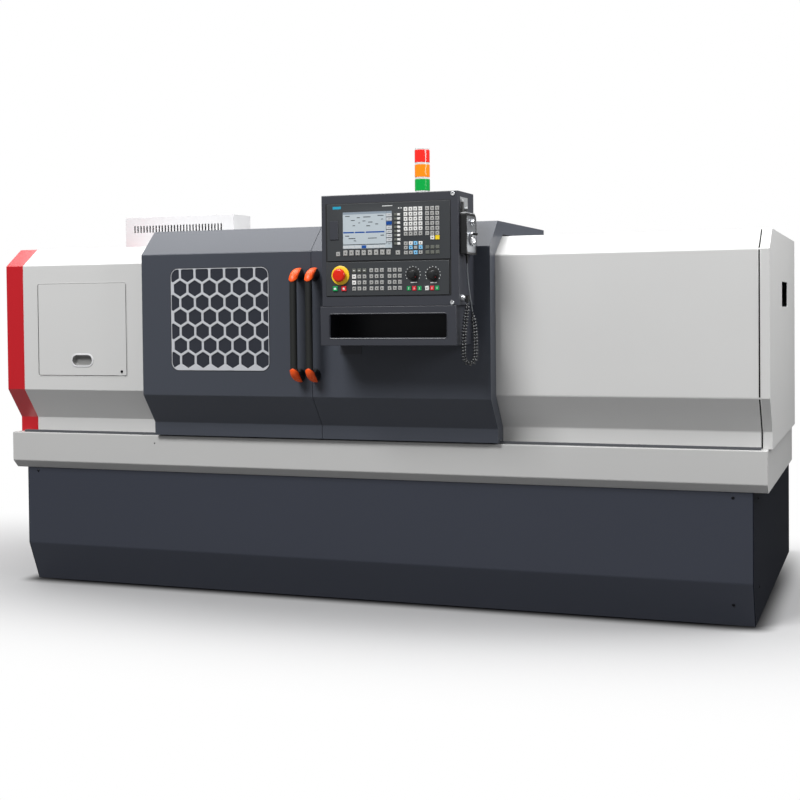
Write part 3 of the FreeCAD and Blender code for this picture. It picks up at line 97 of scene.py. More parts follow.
def mesh_piece(name, vertices, faces, material, smooth_below=35.0):
    """Mesh object from arrays in mm, with doubled points merged and faces turned outwards."""
    mesh = bpy.data.meshes.new(name)
    mesh.from_pydata((np.asarray(vertices, float) * MM).tolist(), [], [list(f) for f in faces])
    shape = bmesh.new()
    shape.from_mesh(mesh)
    bpy.data.meshes.remove(mesh)
    bmesh.ops.remove_doubles(shape, verts=shape.verts, dist=1e-6)
    bmesh.ops.recalc_face_normals(shape, faces=shape.faces)
    return finish_mesh(name, shape, material, smooth_below)


backdrop_paint, tree, out = new_material("backdrop_matt_paint")
seen = add(tree, "ShaderNodeLightPath").outputs["Is Camera Ray"]
footprint_middle_y = 0.371
footprint_half = (1.585, 0.829, 0.0)
place = add(tree, "ShaderNodeTexCoord").outputs["Object"]
under = add(tree, "ShaderNodeMapping", {"Vector": place},
            Location=(0.0, -footprint_middle_y, 0.0))
apart = add(tree, "ShaderNodeVectorMath", {0: under.outputs[0]}, operation="ABSOLUTE")
beyond = add(tree, "ShaderNodeVectorMath", {0: apart.outputs[0]}, operation="SUBTRACT")
beyond.inputs[1].default_value = footprint_half
outside = add(tree, "ShaderNodeVectorMath", {0: beyond.outputs[0]}, operation="MAXIMUM")
painted_shadow_reach = add(tree, "ShaderNodeVectorMath", {0: outside.outputs[0]}, operation="LENGTH")
# Painted contact shadow: camera rays see the floor fade from near black at the base's footprint to
# its pale tone within 0.11 m.
painted_shadow_fade = add(tree, "ShaderNodeMapRange", {"Value": painted_shadow_reach.outputs["Value"]},
              From_Min=0.0, From_Max=0.11, interpolation_type="SMOOTHSTEP")
floor_with_painted_shadow = add(tree, "ShaderNodeMix", {0: painted_shadow_fade.outputs[0]}, data_type="RGBA")
floor_with_painted_shadow.inputs[6].default_value = linear("#1c1c1d")
floor_with_painted_shadow.inputs[7].default_value = linear("#bababb")
tone = add(tree, "ShaderNodeMix", {0: seen, 7: floor_with_painted_shadow.outputs[2]}, data_type="RGBA")
tone.inputs[6].default_value = linear("#707071")
matt = add(tree, "ShaderNodeBsdfPrincipled", {"Base_Color": tone.outputs[2]}, Roughness=0.6)
oval = add(tree, "ShaderNodeMapping", {"Vector": place}, Scale=(0.45, 1.0, 1.0))
reach = add(tree, "ShaderNodeVectorMath", {0: oval.outputs[0]}, operation="LENGTH")
sweep = add(tree, "ShaderNodeMapRange", {"Value": reach.outputs["Value"]},
            From_Min=0.75, From_Max=1.9, interpolation_type="SMOOTHSTEP")
wall = add(tree, "ShaderNodeMath", {0: sweep.outputs[0], 1: seen}, operation="MULTIPLY")
bright = add(tree, "ShaderNodeEmission", Strength=1.0)
shader = add(tree, "ShaderNodeMixShader",
             {0: wall.outputs[0], 1: matt.outputs[0], 2: bright.outputs[0]})
tree.links.new(shader.outputs[0], out.inputs[0])
floor_half = 14000.0
floor = mesh_piece(
    "studio_floor",
    [(-floor_half, -floor_half, 0), (floor_half, -floor_half, 0),
     (floor_half, floor_half, 0), (-floor_half, floor_half, 0)],
    [(0, 1, 2, 3)],
    backdrop_paint,
)

world = bpy.data.worlds.new("studio_walls")
world.use_nodes = True
tree = world.node_tree
tree.nodes.clear()
seen = add(tree, "ShaderNodeLightPath").outputs["Is Camera Ray"]
level = add(tree, "ShaderNodeMapRange", {"Value": seen}, To_Min=0.17, To_Max=1.0)
walls = add(tree, "ShaderNodeBackground", {"Strength": level.outputs[0]},
            Color=(1.0, 1.0, 1.0, 1.0))
tree.links.new(walls.outputs[0], tree.nodes.new("ShaderNodeOutputWorld").inputs[0])
bpy.context.scene.world = world
bpy.context.scene.view_settings.view_transform = "Standard"

lamps = [
    ("key_lamp", (-2.2, -6.6, 7.7), (0.2, -0.5, 1.0), 3.5, 3.5, 880.0),
    ("ceiling_lamp", (-1.0, 0.9, 6.2), (-1.0, 0.8, 0.0), 8.0, 3.4, 350.0),
    ("fill_lamp", (5.0, -2.2, 3.0), (0.6, -0.7, 1.3), 1.5, 1.5, 85.0),
    ("right_lamp", (3.4, 0.0, 3.9), (1.6, 0.1, 1.3), 1.2, 3.0, 100.0),
]
for name, place, target, width, height, power in lamps:
    lamp = bpy.data.lights.new(name, "AREA")
    lamp.shape = "RECTANGLE"
    lamp.size = width
    lamp.size_y = height
    lamp.energy = power
    stand = bpy.data.objects.new(name, lamp)
    stand.location = place
    stand.rotation_euler = (Vector(target) - Vector(place)).to_track_quat("-Z", "Y").to_euler()
    bpy.context.scene.collection.objects.link(stand)

camera_place = Vector((2.1014, -5.6877, 1.2124))
camera_yaw, camera_pitch, camera_roll = (math.radians(a) for a in (20.202, 1.3935, -0.5767))
forward = Vector((
    -math.sin(camera_yaw) * math.cos(camera_pitch),
    math.cos(camera_yaw) * math.cos(camera_pitch),
    -math.sin(camera_pitch),
))
level = Vector((math.cos(camera_yaw), math.sin(camera_yaw), 0.0))
upright = level.cross(forward)
right = math.cos(camera_roll) * level + math.sin(camera_roll) * upright
up = -math.sin(camera_roll) * level + math.cos(camera_roll) * upright
lens = bpy.data.cameras.new("studio_camera")
lens.sensor_width = 36.0
lens.lens = 60.962
lens.shift_y = -0.0715
lens.clip_end = 60.0
camera = bpy.data.objects.new("studio_camera", lens)
bpy.context.scene.collection.objects.link(camera)
turn = Matrix((right, up, -forward)).transposed().to_4x4()
camera.matrix_world = Matrix.Translation(camera_place) @ turn
bpy.context.scene.camera = camera

# ---- Base ------------------------------------------------------------------------------------
# Folded 3 mm steel sheet, powder-coated anthracite: a front panel with one long fold, flat ends in
# a darker, duller coat that paints in the shade they stand in, a flat back and a deck behind the
# tray, all screwed to the frame.


def powder_coat(name, hex_colour, roughness, grain=1.6, bump=0.10, cloud=0.03, coat=0.0,
                shine=0.5):
    """Powder coat on steel: a cured resin film with a fine orange peel and a satin sheen.

    grain is the peel's width in mm, drawn about four times as coarse as the real one so that
    it shows; cloud is the slow change of tone over a panel, bump the peel's strength, coat a
    clear lacquer over it and shine how much light the resin's surface throws back.
    """
    material, tree, out = new_material(name)
    place = add(tree, "ShaderNodeTexCoord").outputs["Object"]
    peel = add(tree, "ShaderNodeTexNoise", {"Vector": place},
               Scale=1.0 / (grain * MM), Detail=2.0, Roughness=0.5)
    drift = add(tree, "ShaderNodeTexNoise", {"Vector": place}, Scale=2.2, Detail=3.0)
    base = linear(hex_colour)
    tone = add(tree, "ShaderNodeMix", {0: drift.outputs[0]}, data_type="RGBA")
    tone.inputs[6].default_value = (*[c * (1.0 - cloud) for c in base[:3]], 1.0)
    tone.inputs[7].default_value = (*[min(1.0, c * (1.0 + cloud)) for c in base[:3]], 1.0)
    gloss = add(tree, "ShaderNodeMapRange", {"Value": peel.outputs[0]},
                To_Min=roughness - 0.05, To_Max=roughness + 0.05)
    relief = add(tree, "ShaderNodeBump", {"Height": peel.outputs[0]},
                 Strength=bump, Distance=0.3 * MM)
    shader = add(tree, "ShaderNodeBsdfPrincipled",
                 {"Base_Color": tone.outputs[2], "Roughness": gloss.outputs[0],
                  "Normal": relief.outputs[0]}, Coat_Weight=coat, Coat_Roughness=0.25,
                 Specular_IOR_Level=shine)
    tree.links.new(shader.outputs[0], out.inputs[0])
    return material


def eased(node, name, body, slot, material, radius, along=None, least=2.5, steps=3,
          pick=None, second=None):
    """Copy of a CAD node with its edges rounded, standing for that node.

    An edge is rounded when the faces beside it turn by 8 to 100 degrees and each is wider
    than least radii (its area over the edge's length). along keeps only edges along one axis,
    as on bent sheet, and pick(x, y, z) keeps edges by their middle, in mm. radius is in mm.
    second is (material, test): faces whose middle in mm and normal pass test take it.
    """
    shape = bmesh.new()
    shape.from_mesh(nodes[node].data)
    bmesh.ops.remove_doubles(shape, verts=shape.verts, dist=2e-6)
    bmesh.ops.dissolve_limit(shape, angle_limit=math.radians(0.4), verts=shape.verts,
                             edges=shape.edges)
    chosen = []
    for edge in shape.edges:
        if len(edge.link_faces) != 2:
            continue
        angle = math.degrees(edge.calc_face_angle(0.0))
        way = (edge.verts[1].co - edge.verts[0].co).normalized()
        width = min(f.calc_area() for f in edge.link_faces) / max(edge.calc_length(), 1e-6)
        if not 8.0 < angle < 100.0 or width < least * radius * MM:
            continue
        if pick and not pick(*((edge.verts[0].co + edge.verts[1].co) / (2.0 * MM))):
            continue
        if along is None and edge.is_convex or along is not None and abs(way[along]) > 0.99:
            chosen.append(edge)
    if chosen:
        bmesh.ops.bevel(shape, geom=chosen, offset=radius * MM, offset_type="OFFSET",
                        segments=steps, profile=0.5, affect="EDGES", clamp_overlap=True)
    if second:
        for face in shape.faces:
            middle = face.calc_center_median() / MM
            face.material_index = int(bool(second[1](middle, face.normal)))
    made = finish_mesh(name, shape, material, 38.0)
    if second:
        made.data.materials.append(second[0])
    level_out = made.modifiers.new("flat_faces", "WEIGHTED_NORMAL")
    level_out.keep_sharp = True
    return fitted(made, body, slot, node)


def fitted(made, body, slot, *stands_for):
    """Lets a piece ride a body and hides the CAD nodes that it stands for; slot is not used."""
    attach(made, body)
    if stands_for:
        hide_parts(*stands_for)
    return made


def turned(name, profile, centre, way, material, steps=48, flutes=(0, 0.0)):
    """Solid of revolution: c + h w + r(1 - d (1 + cos n t)/2)(cos t u + sin t v).

    profile is rows of (h, r) in mm from one pole to the other, way is w, flutes is (n, d).
    """
    way = np.array(way, float) / np.linalg.norm(way)
    side = np.cross(way, (0.3, 0.2, 1.0) if abs(way[2]) < 0.9 else (1.0, 0.0, 0.0))
    side /= np.linalg.norm(side)
    other = np.cross(way, side)
    rise, reach = np.array(profile, float).T
    t = np.linspace(0.0, 2.0 * np.pi, steps, endpoint=False)
    shrink = 1.0 - flutes[1] * (1.0 + np.cos(flutes[0] * t)) / 2.0
    ring = np.cos(t)[:, None] * side + np.sin(t)[:, None] * other
    points = (np.array(centre, float) + rise[:, None, None] * way
              + reach[:, None, None] * shrink[None, :, None] * ring[None])
    return mesh_piece(name, points.reshape(-1, 3), grid_faces(len(rise), steps), material)


def grid_faces(rows, columns, wrap=True):
    """Quads of a grid of rows x columns points; wrap joins the last column to the first."""
    i = np.arange(rows - 1)[:, None] * columns
    j = np.arange(columns if wrap else columns - 1)[None, :]
    k = (j + 1) % columns
    return np.stack([i + j, i + k, i + columns + k, i + columns + j], -1).reshape(-1, 4).tolist()


def capped_faces(rows, columns):
    """Quads of a closed grid of rows rings, with a flat face over its first and last ring."""
    last = (rows - 1) * columns
    return [*grid_faces(rows, columns), list(range(columns)), list(range(last, last + columns))]


def metal(name, hex_colour, roughness, line=0.6, stretch=40.0, axis=0, bump=0.05):
    """Ground or brushed metal: fine parallel tool lines, line mm apart and stretch times as
    long, along axis. They are drawn coarser than real grinding marks so that they show."""
    material, tree, out = new_material(name)
    place = add(tree, "ShaderNodeTexCoord").outputs["Object"]
    scale = [1.0 / (line * MM)] * 3
    scale[axis] /= stretch
    lines = add(tree, "ShaderNodeMapping", {"Vector": place}, Scale=scale)
    marks = add(tree, "ShaderNodeTexNoise", {"Vector": lines.outputs[0]}, Scale=1.0, Detail=3.0)
    gloss = add(tree, "ShaderNodeMapRange", {"Value": marks.outputs[0]},
                To_Min=roughness - 0.06, To_Max=roughness + 0.08)
    relief = add(tree, "ShaderNodeBump", {"Height": marks.outputs[0]},
                 Strength=bump, Distance=0.2 * MM)
    shader = add(tree, "ShaderNodeBsdfPrincipled",
                 {"Roughness": gloss.outputs[0], "Normal": relief.outputs[0]},
                 Base_Color=linear(hex_colour), Metallic=1.0)
    tree.links.new(shader.outputs[0], out.inputs[0])
    return material


anthracite = powder_coat("anthracite_powder_coat", "#343843", 0.42)
black_screw = metal("blackened_screw_steel", "#2a2b2e", 0.4)
eased("base_front_panel", "base_front", "machine", "anthracite_paint", anthracite, 5.0, along=0)
# Painted shade: the base ends take a darker copy of the front's anthracite, the same paint as it
# looks in shadow.
base_end_shade_coat = powder_coat("base_end_painted_shade_powder_coat", "#14171f", 0.6, shine=0.05)
base_half = 1596.0
inside_ends = base_half - 6.0
eased("base_side_panels", "base_ends_and_back", "machine", "anthracite_paint", base_end_shade_coat,
      1.0, pick=lambda x, y, z: y < 600.0 and abs(x) > inside_ends,
      second=(anthracite, lambda p, n: abs(p.x) < inside_ends))
screw_head = [(-1.0, 0.0), (-1.0, 6.0), (1.2, 6.0), (2.6, 4.6), (3.0, 2.8), (1.6, 2.4),
              (1.4, 0.0)]
front_way, low_way = (0.0, -1.0, 0.0), (0.0, -0.924, -0.382)
base_screws = [
    ("front_right", (1522.0, -529.8, 498.0), front_way),
    ("low_right", (1518.0, -492.9, 88.2), low_way),
    ("front_left", (-1541.0, -529.8, 504.0), front_way),
    ("low_left", (-1540.0, -489.5, 96.0), low_way),
]
end_screws = [("end_top", -357.0, 476.0), ("end_low", -319.0, 128.0),
              ("rear_top", 1120.0, 476.0), ("rear_low", 1120.0, 128.0)]
for hand, sign in (("right", 1.0), ("left", -1.0)):
    base_screws += [(f"{label}_{hand}", (sign * base_half, y, z), (sign, 0.0, 0.0))
                    for label, y, z in end_screws]
for label, spot, way in base_screws:
    fitted(turned("base_screw_" + label, screw_head, spot, way, black_screw, steps=24),
           "machine", "steel")

# ---- Bed and tray ----------------------------------------------------------------------------
# Grey-painted cast-iron pedestals, bed and headstock with ground ways, and enamelled motors, in
# a welded light grey tray that catches chips and coolant and drains into the tank below. The tray
# is a darker copy of the covers' light grey, painted shade, and its upward faces at the rim keep
# the lighter grey as a painted highlight.
cast_paint = powder_coat("painted_grey_cast_iron", "#565b60", 0.5, grain=3.0, bump=0.3)
ground_steel = metal("ground_tool_steel", "#9c9ea1", 0.3)
light_grey = powder_coat("light_grey_powder_coat", "#cfcfce", 0.36)
tray_shaded_grey = powder_coat("tray_painted_shade_grey_powder_coat", "#bfbfbe", 0.36)
bed_top = 830.0
rim_highlight_z = 660.0
eased("bed_pedestals", "pedestals", "machine", "cast_iron", cast_paint, 4.0)
# Painted shade and highlight: the tray body takes the darker grey, and its upward rim faces take
# the lighter one.
eased("chip_tray", "tray", "machine", "light_grey_paint", tray_shaded_grey, 4.0, along=0,
      second=(light_grey, lambda p, n: n.z > 0.5 and p.z > rim_highlight_z))
rivet_head = [(0.5 * rise, 0.5 * reach) for rise, reach in screw_head]
fitted(turned("tray_rivet", rivet_head, (-921.0, -562.9, 646.0), (0.0, -1.0, 0.0), black_screw,
              steps=16), "machine", "steel")
eased("coolant_unit", "coolant_tank_and_pump", "machine", "light_grey_paint", light_grey, 3.0)
eased("bed", "bed_casting", "machine", "cast_iron", cast_paint, 4.0,
      second=(ground_steel, lambda p, n: n.z > 0.5 and p.z > bed_top - 5.0))
eased("headstock", "headstock_casting", "machine", "cast_iron", cast_paint, 8.0)
motor_enamel = powder_coat("black_motor_enamel", "#1c1d20", 0.35)
eased("main_motor", "main_motor_body", "machine", "motor_paint", motor_enamel, 3.0)
eased("z_servo_motor", "z_servo_motor_body", "machine", "motor_paint", motor_enamel, 2.0)
eased("x_servo_motor", "x_servo_motor_body", "carriage", "motor_paint", motor_enamel, 2.0)

# ---- Spindle, chuck and belt -----------------------------------------------------------------
# Ground steel spindle with a three-jaw chuck on its nose, driven through a ribbed rubber belt
# from the motor behind the left pedestal.


def moulded(name, hex_colour, roughness, grain=0.8, bump=0.15, glow=0.0, coat=0.0,
            transmission=0.0):
    """Moulded plastic or rubber: IOR 1.5, a fine moulded texture grain mm across, and glow, light
    that it gives off in its own colour, used for the lit screen and as a painted glow on the
    unlit lenses. The texture is drawn coarser than real so that it shows."""
    material, tree, out = new_material(name)
    place = add(tree, "ShaderNodeTexCoord").outputs["Object"]
    texture = add(tree, "ShaderNodeTexNoise", {"Vector": place},
                  Scale=1.0 / (grain * MM), Detail=2.0)
    gloss = add(tree, "ShaderNodeMapRange", {"Value": texture.outputs[0]},
                To_Min=max(0.02, roughness - 0.04), To_Max=roughness + 0.04)
    relief = add(tree, "ShaderNodeBump", {"Height": texture.outputs[0]},
                 Strength=bump, Distance=0.15 * MM)
    shader = add(tree, "ShaderNodeBsdfPrincipled",
                 {"Roughness": gloss.outputs[0], "Normal": relief.outputs[0]},
                 Base_Color=linear(hex_colour), Coat_Weight=coat, Coat_Roughness=0.08,
                 Transmission_Weight=transmission, Emission_Color=linear(hex_colour),
                 Emission_Strength=glow)
    tree.links.new(shader.outputs[0], out.inputs[0])
    return material


belt_rubber = moulded("ribbed_belt_rubber", "#1b1b1c", 0.7, grain=3.0, bump=0.5)
eased("spindle", "spindle_steel", "spindle", "steel", ground_steel, 2.0)
eased("chuck_body", "chuck", "spindle", "steel", ground_steel, 3.0)
for number in (1, 2, 3):
    eased(f"chuck_jaw_{number}", f"jaw_{number}", f"jaw_{number}", "steel", ground_steel, 1.5)
eased("motor_pulley", "motor_pulley_iron", "motor_pulley", "cast_iron", ground_steel, 2.0)
eased("drive_belt", "belt_loop", "machine", "belt_rubber", belt_rubber, 1.5)

# ---- Carriage and tailstock ------------------------------------------------------------------
# Scraped iron castings on the ground ways, with a four-way tool post, ball screws and a
# handwheel: painted outside, ground where they slide.
castings = [
    ("saddle", "carriage", "cast_iron", 5.0), ("cross_slide", "cross_slide", "cast_iron", 4.0),
    ("tailstock_body", "tailstock", "cast_iron", 6.0),
    ("tailstock_handwheel", "quill_handwheel", "cast_iron", 2.0),
]
slide_top = 950.0
for part, body, slot, radius in castings:
    eased(part, part + "_casting", body, slot, cast_paint, radius,
          second=(ground_steel, lambda p, n: n.z > 0.9 and p.z < slide_top))
steel_parts = [
    ("tool_turret", "turret", 3.0), ("z_ball_screw", "z_screw", 1.0),
    ("x_ball_screw", "x_screw", 1.0), ("tailstock_quill", "quill", 1.0),
]
for part, body, radius in steel_parts:
    eased(part, part + "_steel", body, "steel", ground_steel, radius)

# ---- Fixed covers ----------------------------------------------------------------------------
# Bent 2 mm sheet over the headstock and the tailstock end, light grey with a red end cap; a
# rear wall and roof close the back. Powder-coated after bending, so the bends are rounded. A
# near-black strip between two thin beads runs round the joint of the right end cover: painted
# shade in the gap between the sheets.


def rounded_outline(half_a, half_b, corner, steps=8):
    """Points and outward normals of a rounded rectangle: corner centre + corner (cos t, sin t)."""
    t = np.linspace(0.0, np.pi / 2.0, steps)
    quarter = np.stack([np.cos(t), np.sin(t)], -1)
    spins = [np.array([[c, s], [-s, c]]) for c, s in ((1, 0), (0, 1), (-1, 0), (0, -1))]
    normals = np.concatenate([quarter @ spin for spin in spins])
    centres = np.sign(normals + 1e-9 * np.roll(normals, 1, 0))
    signs = np.repeat([(1, 1), (-1, 1), (-1, -1), (1, -1)], steps, 0)
    centres = signs * np.array([half_a - corner, half_b - corner])
    return centres + corner * normals, normals


def hoop(name, centre, outline, section, material, plane="xz", closed=False, smooth=35.0):
    """Section swept round an outline: point + out * normal, with depth across the plane.

    section is rows of (out, depth) in mm; closed fills the last ring and leaves the first,
    otherwise the section itself closes on its start. plane "xz" has depth along +Y, "yz" +X.
    """
    points, normals = outline
    rows = np.array(section if closed else [*section, section[0]], float)
    flat = points[None] + rows[:, 0, None, None] * normals[None]
    depth = np.broadcast_to(rows[:, 1, None], flat.shape[:2])
    order = [flat[..., 0], depth, flat[..., 1]]
    if plane == "yz":
        order = [depth, flat[..., 0], flat[..., 1]]
    places = np.stack(order, -1) + np.array(centre, float)
    faces = grid_faces(len(rows), len(points))
    if closed:
        last = (len(rows) - 1) * len(points)
        faces = [*faces, list(range(last, last + len(points)))]
    return mesh_piece(name, places.reshape(-1, 3), faces, material, smooth)


cover_front = -600.0
white = powder_coat("white_powder_coat", "#dadadc", 0.4)
signal_red = powder_coat("signal_red_powder_coat", "#c20d1c", 0.3, coat=1.0)
eased("left_end_cap", "red_end_cap", "machine", "red_paint", signal_red, 5.0, along=0)
eased("left_cover", "left_cover_sheet", "machine", "light_grey_paint", light_grey, 5.0, along=0)
eased("right_cover", "right_cover_sheet", "machine", "light_grey_paint", light_grey, 5.0,
      along=0)
eased("right_end_cover", "right_end_sheet", "machine", "light_grey_paint", light_grey, 5.0,
      along=0)
eased("rear_wall", "rear_wall_sheet", "machine", "light_grey_paint", light_grey, 1.0)
end_slot_rim = [(0.3, -3.0), (-0.8, -3.0), (-1.6, -1.6), (-1.0, -0.3), (0.3, -0.05)]
slot_outline = rounded_outline(140.0, 52.0, 14.0, 8)
fitted(hoop("end_slot_rim", (1663.0, 89.0, 1260.0), slot_outline, end_slot_rim, light_grey,
            plane="yz"), "machine", "light_grey_paint")


def sheet_strip(name, path, section, material):
    """Strip along bent sheet: (x, p + out n), with n the mitred outward normal of the path.

    path is rows of (y, z), section rows of (x, out), all in mm; both ends are capped.
    """
    path = np.array(path, float)
    rows = np.array(section, float)
    steps = np.diff(path, axis=0)
    steps /= np.linalg.norm(steps, axis=1)[:, None]
    sides = np.stack([-steps[:, 1], steps[:, 0]], -1)
    before = np.concatenate([sides[:1], sides])
    after = np.concatenate([sides, sides[-1:]])
    normals = (before + after) / (1.0 + (before * after).sum(1))[:, None]
    flat = path[:, None] + rows[None, :, 1, None] * normals[:, None]
    across = np.broadcast_to(rows[None, :, 0], flat.shape[:2])
    places = np.concatenate([across[..., None], flat], -1)
    return mesh_piece(name, places.reshape(-1, 3), capped_faces(len(path), len(rows)), material)


seam_x = 1626.0
bead_shift = 4.4
cover_path = [(-504.0, 682.0), (-504.0, 741.0), (-507.0, 749.0), (-597.0, 871.0),
              (-600.0, 880.0), (-600.0, 1418.0), (-596.0, 1426.0), (-493.0, 1498.0),
              (-484.0, 1501.0), (640.0, 1501.0)]
# Painted shade: a near-black strip fills the joint between the right cover and its end cover.
seam_shade_black = powder_coat("seam_painted_shade_black", "#0b0c0d", 0.6, grain=0.8, shine=0.2)
seam_bead = [(-1.6, -1.0), (1.6, -1.0), (1.6, 0.4), (0.8, 1.0), (-0.8, 1.0),
             (-1.6, 0.4)]
for label, shift in (("left", -bead_shift), ("right", bead_shift)):
    edge = [(seam_x + shift + x, out) for x, out in seam_bead]
    fitted(sheet_strip("end_seam_bead_" + label, cover_path, edge, light_grey), "machine",
           "light_grey_paint")
seam_shade_strip = [(seam_x + x, out) for x, out in ((-2.8, -1.0), (2.8, -1.0), (2.8, 0.3),
                                              (-2.8, 0.3))]
fitted(sheet_strip("end_seam_painted_shade", cover_path, seam_shade_strip, seam_shade_black), "machine",
       "belt_rubber")

# ---- Access panel ----------------------------------------------------------------------------
# Flush sheet panel in the left cover, hinged along its top, with a pressed pull cup and a
# small quarter-turn lock; its edges and the cover's mouth are rolled. A near-black strip in the
# gap round the panel is painted shade; the cup is drawn darker than the panel as painted shade in
# its hollow, and its rim paler as a painted highlight.
eased("access_panel", "access_panel_sheet", "access_panel", "light_grey_paint", light_grey, 1.6,
      least=0.6, pick=lambda x, y, z: y < cover_front + 0.5)
mouth_spot = (-1255.5, cover_front, 1139.5)
mouth_outline = rounded_outline(225.5, 202.5, 10.0, 5)
bead = [(0.1, 0.8), (0.1, -0.6), (1.0, -1.2), (2.6, -1.2), (3.6, -0.4), (3.6, 0.8)]
mouth_gap_shade = [(-2.7, 1.0), (0.2, 0.8), (0.2, 1.9), (-2.7, 1.9)]
# Painted shade: a near-black strip in the gap between the panel and the cover's mouth.
mouth_gap_shade_rubber = moulded("black_gap_painted_shade", "#0b0c0d", 0.6)
fitted(hoop("panel_mouth_bead", mouth_spot, mouth_outline, bead, light_grey), "machine",
       "light_grey_paint")
fitted(hoop("panel_mouth_gap_shade", mouth_spot, mouth_outline, mouth_gap_shade, mouth_gap_shade_rubber), "machine",
       "belt_rubber")
cup_spot = (-1255.0, cover_front, 1005.0)
cup = [(0.4, 0.6), (0.4, -1.4), (-1.0, -1.0), (-1.6, 6.0), (-2.4, 15.0), (-6.0, 19.0)]
cup_rim = [(-0.6, 0.4), (-0.6, -1.2), (1.0, -2.6), (4.0, -2.8), (6.4, -1.6), (7.2, 0.4)]
# Painted shade and highlight: the cup's hollow in a darker grey, its rim in a paler white than the
# panel.
cup_shade_grey = moulded("pull_cup_painted_shade_grey", "#8e8e8d", 0.45)
cup_outline = rounded_outline(50.0, 23.0, 22.9, 12)
fitted(hoop("pull_cup", cup_spot, cup_outline, cup, cup_shade_grey, closed=True), "access_panel",
       "light_grey_paint")
fitted(hoop("pull_cup_rim", cup_spot, cup_outline, cup_rim, white), "access_panel",
       "light_grey_paint")
lock = [(3.0, 0.0), (3.0, 5.0), (-0.5, 5.6), (-1.2, 4.4), (-1.2, 1.4), (0.2, 1.2), (0.2, 0.0)]
fitted(turned("panel_lock", lock, (-1056.0, cover_front, 957.0), (0.0, -1.0, 0.0), black_screw,
              steps=24), "access_panel", "steel")

# ---- Electrical cabinet ----------------------------------------------------------------------
# Pale sheet box behind the left cover with a row of punched vents, and a lift-off rear door.
eased("cabinet_body", "cabinet_sheet", "machine", "white_paint", white, 3.0)
eased("cabinet_door", "cabinet_door_sheet", "cabinet_door", "white_paint", white, 0.8, least=0.5)

# ---- Doors -----------------------------------------------------------------------------------
# Two bent sheet doors in anthracite that slide on a lower rail and a ground upper one; their
# hoods reach over the fixed roof. The left one has a guarded window. The lower rail's dark coat is
# painted shade: the shadow line at the foot of the covers.
rail_shadow_split_z = 760.0
# Painted shade: the lower rail's faces take a dark coat that draws the shadow line under the
# covers.
rail_shadow_coat = powder_coat("rail_painted_shadow_powder_coat", "#55575b", 0.6, shine=0.2)
eased("door_rails", "door_rail_steel", "machine", "steel", ground_steel, 1.5,
      second=(rail_shadow_coat, lambda p, n: p.z < rail_shadow_split_z))
door_front = -678.0
door_coat = powder_coat("door_anthracite_powder_coat", "#42464f", 0.36)
eased("left_door", "left_door_sheet", "left_door", "anthracite_paint", door_coat, 5.0, along=0)
eased("right_door", "right_door_sheet", "right_door", "anthracite_paint", door_coat, 5.0,
      along=0)

# ---- Window ----------------------------------------------------------------------------------
# Tinted polycarbonate behind a pressed silver honeycomb guard, in a dark rubber gasket.
tinted = moulded("tinted_polycarbonate", "#3a3d46", 0.12, grain=8.0, bump=0.02,
                 transmission=0.25)
silver_coat = powder_coat("silver_powder_coat", "#c3c5ca", 0.34, grain=1.2)
gasket_rubber = moulded("gasket_rubber", "#26282c", 0.55)
eased("door_window", "window_pane", "left_door", "window_glass", tinted, 1.5)
eased("window_grille", "honeycomb_guard", "left_door", "grille_silver", silver_coat, 1.1,
      least=1.5, steps=2)
window_outline = rounded_outline(227.0, 213.0, 34.0, 10)
gasket = [(-1.0, -0.4), (0.2, -1.0), (1.6, -0.9), (2.2, -0.4), (2.2, 0.3), (-1.0, 0.6)]
fitted(hoop("window_gasket", (-538.0, door_front, 1181.0), window_outline, gasket,
            gasket_rubber), "left_door", "belt_rubber")

# ---- Handles ---------------------------------------------------------------------------------
# Oval charcoal tube between two curved black feet; an orange shell covers the outside of each
# foot from the end of the tube over to the door.


def bent_bar(path, wide, deep, around):
    """Ellipse carried along a path in the YZ plane: p + wide cos(a) X + deep sin(a) N."""
    run = np.gradient(path, axis=0)
    run /= np.linalg.norm(run, axis=1)[:, None]
    normal = np.cross((1.0, 0.0, 0.0), run)
    cos_part = np.asarray(wide)[:, None, None] * np.cos(around)[..., None] * (1.0, 0.0, 0.0)
    sin_part = np.asarray(deep)[:, None, None] * np.sin(around)[..., None] * normal[:, None]
    return path[:, None] + cos_part + sin_part


